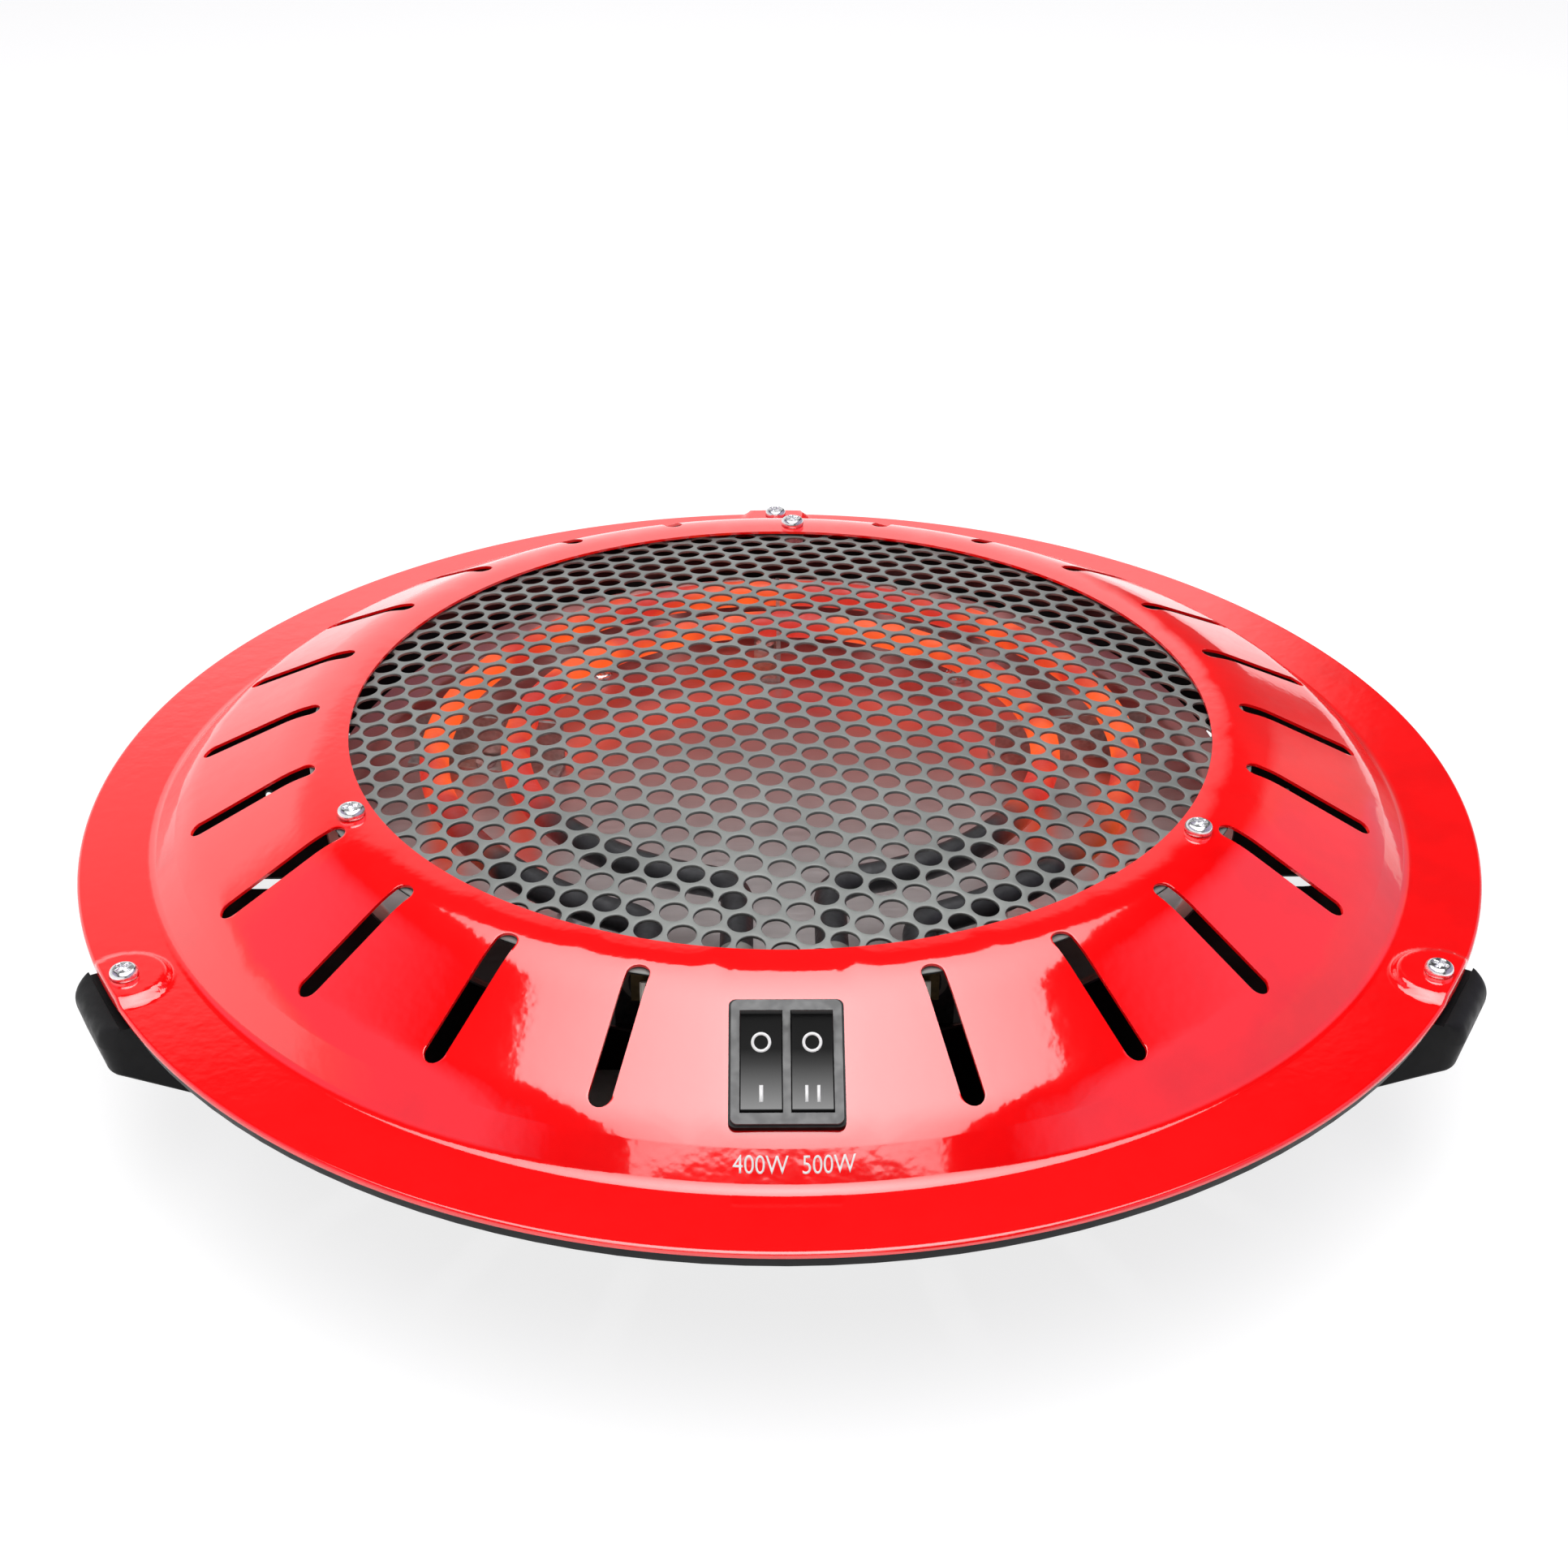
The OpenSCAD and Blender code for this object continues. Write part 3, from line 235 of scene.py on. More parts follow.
def cover_path():
    """Upper face of the cover in radius and height over the flange, from crown and dome to rim."""
    crown = CROWN_R + CROWN_BEND * math.tan(DOME_SLOPE / 2)
    foot = FLANGE_R - FLANGE_FILLET * math.tan(SHOULDER_SLOPE / 2)
    dome, shoulder = math.tan(DOME_SLOPE), math.tan(SHOULDER_SLOPE)
    meet = (shoulder * foot - DOME_H - dome * crown) / (shoulder - dome)
    corners = [(OPENING_R, DOME_H), (crown, DOME_H), (meet, shoulder * (foot - meet)),
               (foot, 0), (RIM_R, 0), (RIM_R, -LIP_H)]
    return rounded_path(corners, [CROWN_BEND, SHOULDER_BEND, FLANGE_FILLET, RIM_BEND], step=2.0)


COVER_PATH = cover_path()


def cover_z(r):
    """Height of the cover's upper face above the floor at a radius, read off its path."""
    falling = COVER_PATH[:, 0] < RIM_R - 1e-6
    return FLANGE_Z + np.interp(r, COVER_PATH[falling, 0], COVER_PATH[falling, 1])


def foot_pad_rise(xy):
    """Rise of the pads round the foot screws: full near a screw, smoothly down to nothing."""
    rise = np.zeros(len(xy))
    for azimuth in FOOT_AZIMUTHS:
        gap = np.linalg.norm(xy - azimuth_point(azimuth, FOOT_SCREW_R), axis=1)
        rise = np.maximum(rise, RAISED_H * smooth_step((RAISED_R - gap) / RAISED_FADE))
    return rise


def cover_azimuths():
    """Azimuths of the cover's grid lines: every degree, or every third of one across a raised pad."""
    every = set(range(360))
    for azimuth in FOOT_AZIMUTHS:
        every -= set(range(azimuth - 4, azimuth + 5))
        every |= set(np.round(np.linspace(azimuth - 4, azimuth + 4, 25), 4))
    return np.array(sorted(every))


def sector_loop(azimuths):
    """Closed border of a sector of the dome, as radius and azimuth from its middle."""
    half = SECTOR_HALF
    across = np.concatenate([[-half], azimuths, [half]])
    radii = np.linspace(OPENING_R, BELT_R, SECTOR_ROWS + 1)
    sides = ((OPENING_R, across), (radii, half), (BELT_R, across[::-1]), (radii[::-1], -half))
    return np.concatenate([np.stack(np.broadcast_arrays(*side), -1)[:-1] for side in sides])


def stadium_nearest(along, across, tip_in, tip_out, half):
    """Nearest point on a stadium: the nearest point of its middle line, plus half its width that way."""
    middle = np.clip(along, tip_in + half, tip_out - half)
    d = np.column_stack([along - middle, across])
    d /= np.linalg.norm(d, axis=1, keepdims=True)
    return middle + half * d[:, 0], half * d[:, 1]


def window_nearest(along, across):
    """Point where the ray from the switch window's middle to a point crosses the window's border."""
    middle = -SWITCH_ORIGIN[1] - 0.001
    d = np.column_stack([along - middle, across])
    d /= np.maximum(np.abs(d[:, 0]) / WINDOW_HALF_L, np.abs(d[:, 1]) / WINDOW_HALF_W)[:, None]
    return middle + d[:, 0], d[:, 1]


def dome_sector(centre, azimuths, sizes):
    """Points and quads of one sector of the dome.

    Its hole's outline is blended into its border by shares from 0 to 1. The sector at the back has
    no hole, and is a grid of radius and azimuth. Every height is the cover path's at that radius."""
    near = (azimuths - centre + 180) % 360 - 180
    near = np.sort(near[np.abs(near) < SECTOR_HALF - 1e-6])
    if centre == 180:
        radii = np.linspace(OPENING_R, BELT_R, SECTOR_ROWS + 1)
        columns = np.concatenate([[-SECTOR_HALF], near, [SECTOR_HALF]])
        rr, aa = np.meshgrid(radii, columns, indexing="ij")
        xy = azimuth_point(aa.ravel() + centre, rr.ravel())
        quads = grid_quads(len(radii), len(columns))
    else:
        loop = sector_loop(near)
        a = np.radians(loop[:, 1])
        along, across = loop[:, 0] * np.cos(a), loop[:, 0] * np.sin(a)
        if centre == 0:
            inner = window_nearest(along, across)
        else:
            inner = stadium_nearest(along, across, sizes.slot_in, sizes.slot_out, sizes.slot_width / 2)
        share = np.array(SECTOR_SHARES)[:, None]
        px = (1 - share) * inner[0] + share * along
        py = (1 - share) * inner[1] + share * across
        xy = placed_at(centre, px, py, 0)[:, :2]
        quads = grid_quads(len(share), len(loop), wrap=True)[:, ::-1]
    return np.column_stack([xy, cover_z(np.linalg.norm(xy, axis=1))]), quads


def outer_rings(azimuths):
    """Points and quads of shoulder, flange and rim: the cover path carried round, with raised pads."""
    r = COVER_PATH[:, 0]
    shoulder = COVER_PATH[(r > BELT_R + 1e-5) & (r < FLANGE_R + 1e-5)]
    flat_r = np.arange(FLANGE_R + FLAT_STEP, RIM_R - RIM_BEND - FLAT_STEP / 2, FLAT_STEP)
    rim = COVER_PATH[r > RIM_R - RIM_BEND - 1e-6]
    rim = np.concatenate([rim[:-1:3], rim[-1:]])
    path = np.concatenate([[[BELT_R, cover_z(BELT_R) - FLANGE_Z]], shoulder,
                           np.column_stack([flat_r, np.zeros(len(flat_r))]), rim])
    columns = np.unique(np.concatenate([azimuths, np.arange(0, 360, SLOT_STEP) + SECTOR_HALF]))
    rr, aa = np.meshgrid(path[:, 0], columns, indexing="ij")
    xy = azimuth_point(aa.ravel(), rr.ravel())
    height = np.repeat(path[:, 1], len(columns))
    z = FLANGE_Z + height + foot_pad_rise(xy) * np.clip((height + LIP_H) / RIM_BEND, 0, 1)
    return np.column_stack([xy, z]), grid_quads(len(path), len(columns), wrap=True)


def cover_sheet(sizes):
    """Upper face of the cover: the sectors of its dome, and the rings round them."""
    azimuths = cover_azimuths()
    sectors = [dome_sector(centre, azimuths, sizes) for centre in range(0, 360, SLOT_STEP)]
    return joined(sectors + [outer_rings(azimuths)])


def grille_place(xy, rim_z, drop):
    """Points a drop below the upper face, which rises as one less the squared share of its radius."""
    share = np.linalg.norm(xy, axis=-1) / GRILLE_DOME_R
    z = rim_z + GRILLE_RISE * np.clip(1 - share ** 2, 0, 1) - drop
    return np.concatenate([xy, z[..., None]], axis=-1)


def hole_cells(sizes):
    """Centres of the hole lattice's cells, and which are open: inside the limit, clear of the screws."""
    steps = np.arange(-18, 19)
    j, i = np.meshgrid(steps, steps)
    along = ((i + j / 2) * sizes.hole_pitch).ravel()
    across = (j * sizes.hole_pitch * math.sin(math.pi / 3)).ravel()
    c, s = math.cos(ROW_TURN), math.sin(ROW_TURN)
    centres = np.column_stack([along * c - across * s, along * s + across * c]) + HOLE_ORIGIN
    centres = centres[np.linalg.norm(centres, axis=1) < sizes.hole_limit + CLOSED_MARGIN]
    free = np.linalg.norm(centres, axis=1) < sizes.hole_limit
    for azimuth in FOOT_AZIMUTHS:
        screw = azimuth_point(azimuth + GRILLE_SCREW_TURN, GRILLE_SCREW_R)
        free &= np.linalg.norm(centres - screw, axis=1) > SCREW_CLEAR_R
    return centres, free


def grille_sheet(sizes, rim_z):
    """Perforated sheet made of the six-sided cells of its hole lattice, with an outer ring that closes it.

    A cell's border is moved towards its centre to the hole's radius, and on down through the sheet."""
    centres, free = hole_cells(sizes)
    hole_r, edge = sizes.hole_width / 2, sizes.hole_edge
    corner = ROW_TURN + np.radians(30 + 60 * np.arange(7))
    corner = sizes.hole_pitch / math.sqrt(3) * np.column_stack([np.cos(corner), np.sin(corner)])
    t = np.linspace(0, 1, 5)[:-1, None]
    border = np.concatenate([(1 - t) * corner[k] + t * corner[k + 1] for k in range(6)])
    toward = border / np.linalg.norm(border, axis=1, keepdims=True)
    sides = len(border)

    open_c = centres[free][:, None, :]
    levels = ((border, 0), ((hole_r + edge) * toward, 0), (hole_r * toward, edge),
              (hole_r * toward, GRILLE_T), (border, GRILLE_T))
    rings = np.stack([grille_place(open_c + ring, rim_z, drop) for ring, drop in levels], axis=1)
    cell = grid_quads(len(levels), sides, wrap=True)
    faces = (cell[None] + (len(levels) * sides * np.arange(len(open_c)))[:, None, None]).reshape(-1, 4)
    verts = [rings.reshape(-1, 3)]
    count = len(verts[0])

    shut = centres[~free][:, None, :] + border
    whole = np.arange(len(shut) * sides).reshape(len(shut), sides)
    verts += [grille_place(shut, rim_z, drop).reshape(-1, 3) for drop in (0, GRILLE_T)]
    plates = (whole + count).tolist() + (whole[:, ::-1] + count + whole.size).tolist()
    count += 2 * whole.size

    every = (centres[:, None, :] + border).reshape(-1, 2)
    keys, ident = np.unique(np.round(every / 1e-6).astype(int), axis=0, return_inverse=True)
    ident = ident.reshape(-1, sides)
    ahead = np.roll(ident, -1, axis=1)
    rank = len(keys)
    lone = ~np.isin(ident * rank + ahead, ahead * rank + ident)
    edge_xy = keys[np.unique(ident[lone])] * 1e-6
    angle = np.arctan2(edge_xy[:, 1], edge_xy[:, 0])
    order = np.argsort(angle)
    edge_xy, angle = edge_xy[order], angle[order]
    circle = GRILLE_R * np.column_stack([np.cos(angle), np.sin(angle)])
    section = ((edge_xy, GRILLE_T), (circle, GRILLE_T), (circle, 0), (edge_xy, 0))
    verts += [grille_place(xy, rim_z, drop) for xy, drop in section]
    ring = grid_quads(len(section), len(angle), wrap=True) + count
    return np.concatenate(verts), faces.tolist() + plates + ring.tolist()


def element_path(ring_r, lead_x):
    """Middle line of a tube: straight in from the terminal, an arc outwards, round the back, out again."""
    reach, bend_x = ring_r + LEAD_BEND, lead_x + LEAD_BEND
    gap = math.asin(bend_x / math.hypot(reach, BEND_RUN)) + math.atan(BEND_RUN / reach)
    bend_y = -reach * math.cos(gap) - BEND_RUN * math.sin(gap)
    lead = np.column_stack([np.full(8, lead_x), np.linspace(LEAD_END_Y, bend_y, 8)])
    t = np.linspace(0, math.pi / 2 - gap, 12)[1:, None]
    bend = np.array([bend_x, bend_y]) + LEAD_BEND * np.concatenate([-np.cos(t), np.sin(t)], axis=1)
    a = np.linspace(gap - math.pi / 2, math.pi / 2, 60)
    ring = ring_r * np.column_stack([np.cos(a), np.sin(a)])
    half = np.concatenate([lead, bend, ring])
    whole = np.concatenate([half, (half * (-1, 1))[::-1][1:]])
    return np.column_stack([whole, np.full(len(whole), TUBE_Z)])


def tube(path, radius, sides):
    """Circle of a radius carried along a path in space, square to it, with a flat cap at each end."""
    path = np.asarray(path, float)
    ahead = np.gradient(path, axis=0)
    ahead /= np.linalg.norm(ahead, axis=1, keepdims=True)
    across = np.cross(ahead, [0.0, 0.0, 1.0])
    across /= np.linalg.norm(across, axis=1, keepdims=True)
    up = np.cross(across, ahead)
    t = np.linspace(0, 2 * np.pi, sides, endpoint=False)[None, :, None]
    ring = path[:, None] + radius * (across[:, None] * np.cos(t) + up[:, None] * np.sin(t))
    return ring.reshape(-1, 3), [face[::-1] for face in closed_faces(len(path), sides)]


def foot_outline():
    """Section of a foot's bracket in radius and height: seat, pan wall, leg, knee, notch."""
    corners = [(FOOT_SEAT_R, FOOT_SEAT_Z), (0.1771, FOOT_SEAT_Z), (0.1568, PAN_FLOOR_Z),
               (FOOT_IN_R, PAN_FLOOR_Z), (FOOT_IN_R, 0.0076), (0.1943, 0.0388), (FOOT_OUT_R, 0.0465),
               (FOOT_OUT_R, FOOT_TOP_Z), (FOOT_LIP_OUT, FOOT_TOP_Z), (FOOT_LIP_OUT, FOOT_NOTCH_Z),
               (FOOT_SEAT_R, FOOT_NOTCH_Z), (FOOT_SEAT_R, FOOT_SEAT_Z)]
    radii = [0.0005, 0.0005, 0.002, 0.002, 0.0015, 0.003, 0.0046, 0.0002, 0.0002, 0.0002]
    return rounded_path(corners, radii, step=6.0)[:-1]


def foot_form(azimuth):
    """One foot: a bracket whose section is carried across its width, on a short leg.

    Near the sides the part outside the rim is drawn in by an arc's depth, times its share of the way
    out. The leg is a rounded oblong, a power of cosine and sine, whose half sizes grow with height."""
    outline = foot_outline()
    t = np.linspace(0, math.pi / 2, 9)
    side = FOOT_HALF_W - FOOT_CORNER + FOOT_CORNER * np.sin(t)
    across = np.concatenate([-side[::-1], side])
    drawn_in = FOOT_CORNER * (1 - np.cos(np.concatenate([t[::-1], t])))
    share = np.clip((outline[:, 0] - FOOT_LIP_OUT) / (FOOT_OUT_R - FOOT_LIP_OUT), 0, 1)
    bracket = placed_at(azimuth, outline[:, 0] - share * drawn_in[:, None], across[:, None], outline[:, 1])

    a = np.linspace(0, 2 * np.pi, 40, endpoint=False)
    c, d = (np.sign(w) * np.abs(w) ** 0.45 for w in (np.cos(a), np.sin(a)))
    z = np.array([0.018, 0.0026, 0.0022, 0.002])[:, None]
    grow = np.array([1.15, 1.0, 0.98, 0.9])[:, None]
    leg = placed_at(azimuth, PAD_R + LEG_HALF_L * grow * c, LEG_HALF_W * grow * d, z)
    faces = closed_faces(len(across), len(outline)) + closed_faces(len(z), len(a), first=len(bracket))
    return np.concatenate([bracket, leg]), faces


def pad_form(azimuth):
    """Round pad under a leg: its profile, rounded below, is turned round its own axis."""
    t = np.linspace(0, math.pi / 2, 6)
    r, z = PAD_HALF_W - PAD_ROUND * (1 - np.sin(t)), PAD_ROUND * (1 - np.cos(t))
    profile = np.column_stack([r, z])
    profile = np.concatenate([[(0, 0)], profile, [(PAD_HALF_W, 0.003), (0, 0.003)]])
    along, across, z = turned(profile, 48)
    return placed_at(azimuth, PAD_R + along, across, z), grid_quads(len(profile), 48, wrap=True)


def screw_form(shank_r, shank_l, turn):
    """Pan-head screw with a cross recess, its seat at height 0.

    The profile is turned round the axis. On the head's flat the height falls by a depth that is full
    where the point lies within both half the recess's width of an arm's line and half its length."""
    edge = HEAD_H * 0.6
    flat = np.linspace(0, HEAD_R - edge, 22)
    t = np.linspace(0, math.pi / 2, 9)[1:]
    crown = np.column_stack([flat, HEAD_H - 0.05 * edge * (flat / HEAD_R) ** 2])
    shoulder = np.column_stack([HEAD_R - edge + edge * np.sin(t), HEAD_H - edge + edge * np.cos(t)])
    below = [(HEAD_R, 0.0001), (HEAD_R - 0.0001, 0), (shank_r, 0), (shank_r, -shank_l + 0.0004),
             (shank_r - 0.0004, -shank_l), (0, -shank_l)]
    profile = np.concatenate([crown, shoulder, below])
    x, y, z = turned(profile, 72)
    c, s = math.cos(turn), math.sin(turn)
    u, v = np.abs(x * c + y * s), np.abs(y * c - x * s)
    near, far = np.minimum(u, v), np.maximum(u, v)
    depth = RECESS_DEPTH * smooth_step((RECESS_HALF_W - near) / 0.0002)
    depth = depth * smooth_step((RECESS_HALF_L - far) / 0.0004) * (1 - 0.3 * far / RECESS_HALF_L)
    z = np.where(z > 0.5 * HEAD_H, z - depth, z)
    return np.stack([x, y, z], -1).reshape(-1, 3), grid_quads(len(profile), 72, wrap=True)[:, ::-1]


def ring_mark(outer, inner, y):
    """Flat ring: a small rectangle between two radii, turned round."""
    profile = [(outer, -MARK_T), (outer, MARK_T), (inner, MARK_T), (inner, -MARK_T), (outer, -MARK_T)]
    u, v, z = turned(np.array(profile), 48)
    return np.stack([u, v + y, z], -1).reshape(-1, 3), grid_quads(len(profile), 48, wrap=True)[:, ::-1]


def bar_mark(width, x, y):
    """Flat bar as tall as a mark."""
    half = (width / 2, MARK_H / 2, MARK_T)
    signs = np.array([(i, j, k) for k in (-1, 1) for j in (-1, 1) for i in (-1, 1)])
    faces = np.array([(0, 2, 3, 1), (4, 5, 7, 6), (0, 1, 5, 4), (2, 6, 7, 3), (0, 4, 6, 2), (1, 3, 7, 5)])
    return signs * half + (x, y, 0), faces


def face_frame(side, upper):
    """Place of half a rocker's face: x across, y along the face away from the valley, z out of it."""
    switch = Matrix.Translation(SWITCH_ORIGIN) @ Matrix.Rotation(DOME_SLOPE, 4, "X")
    rocker = Matrix.Translation((side * ROCKER_X, 0, -PIVOT_DEPTH)) @ Matrix.Rotation(ROCKER_TIP, 4, "X")
    tilt = ROCKER_TIP if upper else -ROCKER_TIP
    return switch @ rocker @ Matrix.Translation((0, 0, ROCKER_VALLEY)) @ Matrix.Rotation(tilt, 4, "X")


def moved(verts, matrix):
    """Vertices carried by a matrix."""
    m = np.array(matrix)
    return np.asarray(verts) @ m[:3, :3].T + m[:3, 3]


def letters(text, width):
    """Flat lettering as vertices and faces, centred, as tall as a mark and brought to a width."""
    curve = bpy.data.curves.new("lettering", "FONT")
    curve.body = text
    curve.resolution_u = 6
    obj = bpy.data.objects.new("lettering", curve)
    bpy.context.scene.collection.objects.link(obj)
    bpy.context.view_layer.update()
    mesh = bpy.data.meshes.new_from_object(obj.evaluated_get(bpy.context.evaluated_depsgraph_get()))
    verts = np.array([v.co for v in mesh.vertices])
    faces = [list(p.vertices) for p in mesh.polygons]
    bpy.data.objects.remove(obj)
    bpy.data.meshes.remove(mesh)
    low, high = verts.min(0), verts.max(0)
    scale = (width / (high[0] - low[0]), MARK_H / (high[1] - low[1]), 0)
    return (verts - (low + high) / 2) * scale, faces


# Meshes

@contextmanager
def edited(mesh):
    """Opens a mesh for editing, and writes it back."""
    bm = bmesh.new()
    bm.from_mesh(mesh)
    yield bm
    bm.to_mesh(mesh)
    bm.free()


def move_points(mesh, rule):
    """Puts a mesh's vertices where a rule sends their places, given as one array."""
    places = np.empty(len(mesh.vertices) * 3)
    mesh.vertices.foreach_get("co", places)
    mesh.vertices.foreach_set("co", rule(places.reshape(-1, 3)).ravel())


def make_piece(name, verts, faces, material, body=HEATER, stands_for=(), weld=1e-7):
    """Puts vertices and faces into a smooth mesh object that rides on a body."""
    if not len(faces):
        raise RuntimeError(f"{name} has no faces")
    mesh = bpy.data.meshes.new(name)
    faces = faces.tolist() if isinstance(faces, np.ndarray) else faces
    mesh.from_pydata(np.asarray(verts, float).tolist(), [], faces)
    with edited(mesh) as bm:
        bmesh.ops.remove_doubles(bm, verts=bm.verts, dist=weld)
    return finish_piece(name, mesh, material, body, stands_for)


def finish_piece(name, mesh, material, body, stands_for):
    """Gives a mesh its object, smooth faces, material and body, and hides the nodes it stands for."""
    mesh.polygons.foreach_set("use_smooth", np.ones(len(mesh.polygons), bool))
    mesh.materials.clear()
    mesh.materials.append(material)
    mesh.update()
    obj = bpy.data.objects.new(name, mesh)
    bpy.context.scene.collection.objects.link(obj)
    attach(obj, body)
    if stands_for:
        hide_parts(*stands_for)
    return obj


def rounded_copy(node, name, material, width, segments, body=HEATER, reshape=None):
    """Copy of a CAD node that stands for it, reshaped, with its triangles welded and its edges rounded."""
    mesh = NODES[node].data.copy()
    mesh.name = name
    if reshape:
        move_points(mesh, reshape)
    with edited(mesh) as bm:
        bmesh.ops.remove_doubles(bm, verts=bm.verts, dist=1e-6)
        bmesh.ops.dissolve_degenerate(bm, dist=1e-6, edges=bm.edges)
        bmesh.ops.dissolve_limit(bm, angle_limit=math.radians(1.0), verts=bm.verts, edges=bm.edges)
        bmesh.ops.recalc_face_normals(bm, faces=bm.faces)
    obj = finish_piece(name, mesh, material, body, (node,))
    round_edges(obj, width, segments, 25.0)


def round_edges(obj, width, segments, angle):
    """Rounds the edges that are sharper than an angle, with shading that keeps the flats flat."""
    bevel = obj.modifiers.new("rounded edges", "BEVEL")
    bevel.width = width
    bevel.segments = segments
    bevel.limit_method = "ANGLE"
    bevel.angle_limit = math.radians(angle)
    even_shading(obj)


def even_shading(obj):
    """Weights the shading by face area, so that narrow rounded edges don't tilt the faces beside them."""
    weighted = obj.modifiers.new("even shading", "WEIGHTED_NORMAL")
    weighted.keep_sharp = True
    weighted.weight = 80


def thicken(obj, thickness):
    """Gives an upper face its sheet below it."""
    wall = obj.modifiers.new("sheet", "SOLIDIFY")
    wall.thickness = thickness
    wall.offset = -1
    wall.use_even_offset = True


# Materials

def add_node(tree, kind, inputs=(), **settings):
    """New node with its settings, and its inputs set to values or joined to other nodes' outputs."""
    node = tree.nodes.new(kind)
    for key, value in settings.items():
        setattr(node, key, value)
    for key, value in dict(inputs).items():
        if isinstance(value, bpy.types.NodeSocket):
            tree.links.new(value, node.inputs[key])
        else:
            node.inputs[key].default_value = value
    return node


class Finish:
    """A procedural material under construction: its tree, its shader and short ways to add nodes."""

    def __init__(self, name, colour, roughness, metallic=0.0, sockets=()):
        self.material = bpy.data.materials.new(name)
        self.material.use_nodes = True
        self.colour = tuple(colour)
        self.tree = self.material.node_tree
        self.shader = self.tree.nodes["Principled BSDF"]
        values = {"Base Color": (*colour, 1), "Roughness": roughness, "Metallic": metallic}
        for socket, value in {**values, **dict(sockets)}.items():
            self.shader.inputs[socket].default_value = value
        self.material.diffuse_color = (*colour, 1)
        self.place = self.node("ShaderNodeTexCoord").outputs["Object"]

    def node(self, kind, inputs=(), **settings):
        """New node in this material."""
        return add_node(self.tree, kind, inputs, **settings)

    def sink(self, source, socket):
        """Joins an output to one of the shader's sockets."""
        self.tree.links.new(source, self.shader.inputs[socket])

    def maths(self, operation, *values):
        """Result of one step of arithmetic."""
        return self.node("ShaderNodeMath", enumerate(values), operation=operation).outputs[0]

    def measure(self, operation, *vectors):
        """Number that comes of one or two vectors."""
        return self.node("ShaderNodeVectorMath", enumerate(vectors), operation=operation).outputs["Value"]

    def product(self, first, *others):
        """All factors times one another."""
        for other in others:
            first = self.maths("MULTIPLY", first, other)
        return first

    def along(self, axis):
        """One of the piece's own coordinates."""
        return self.node("ShaderNodeSeparateXYZ", {"Vector": self.place}).outputs[axis]

    def scaled(self, scale):
        """The piece's own coordinates, each times a factor."""
        return self.node("ShaderNodeMapping", {"Vector": self.place, "Scale": scale}).outputs["Vector"]

    def radius(self):
        """Distance from the brazier's axis."""
        return self.measure("LENGTH", self.scaled((1, 1, 0)))

    def noise(self, scale, detail=2.0, stretch=(1, 1, 1)):
        """Noise on the piece's own coordinates, from 0 to 1; the scale counts grains to the metre."""
        inputs = {"Vector": self.scaled(stretch), "Scale": scale, "Detail": detail}
        return self.node("ShaderNodeTexNoise", inputs).outputs["Fac"]

    def grains(self, scale):
        """Distance to the nearest of many scattered points, from 0 to about 1."""
        inputs = {"Vector": self.place, "Scale": scale}
        return self.node("ShaderNodeTexVoronoi", inputs).outputs["Distance"]

    def spread(self, source, low, high, to_low, to_high):
        """Carries a span of a number over to another span, held at both ends."""
        spans = {"Value": source, "From Min": low, "From Max": high, "To Min": to_low, "To Max": to_high}
        return self.node("ShaderNodeMapRange", spans).outputs["Result"]

    def blend(self, factor, low, high, socket="Base Color"):
        """Mixes two colours by a factor into one of the shader's sockets."""
        mix = self.node("ShaderNodeMix", {0: factor, 6: low, 7: high}, data_type="RGBA")
        self.sink(mix.outputs[2], socket)
        return mix.outputs[2]

    def shaded(self, factor, dark, light):
        """Lets the colour itself wander between a darker and a lighter tone."""
        tones = [tuple(min(1, c * k) for c in self.colour) + (1,) for k in (dark, light)]
        return self.blend(self.spread(factor, 0.35, 0.65, 0, 1), *tones)

    def uneven(self, factor, low, high):
        """Lets the roughness wander between two values."""
        self.sink(self.spread(factor, 0.35, 0.65, low, high), "Roughness")

    def bump(self, *layers, socket="Normal"):
        """Raises the surface by a sum of factors, each times its own height."""
        normal = {}
        for source, height in layers:
            inputs = {"Height": source, "Distance": height, **normal}
            normal = {"Normal": self.node("ShaderNodeBump", inputs).outputs["Normal"]}
        self.sink(normal["Normal"], socket)


def enamel(colour):
    """Glossy stoved enamel: a clear coat with orange peel over an even red ground."""
    look = Finish("red_enamel", colour, 0.35, sockets={
        "Coat Weight": 1.0, "Coat Roughness": 0.06, "Coat IOR": 2.0, "Specular IOR Level": 0.03})
    look.shaded(look.noise(60, 3), 0.93, 1.04)
    look.bump((look.noise(330, 1.5), 0.000025), (look.noise(90, 1), 0.00002), socket="Coat Normal")
    look.bump((look.noise(330, 1.5), 0.00003))
    look.uneven(look.noise(150), 0.32, 0.42)
    return look.material


def grille_metal(colour):
    """Satin lacquered steel with a fine grain and faint patches."""
    look = Finish("grille_lacquer", colour, 0.45, 0.3)
    look.shaded(look.noise(45, 4), 0.85, 1.1)
    look.uneven(look.noise(220, 3), 0.38, 0.52)
    look.bump((look.noise(1800, 2), 0.00001), (look.noise(120, 1), 0.00003))
    return look.material


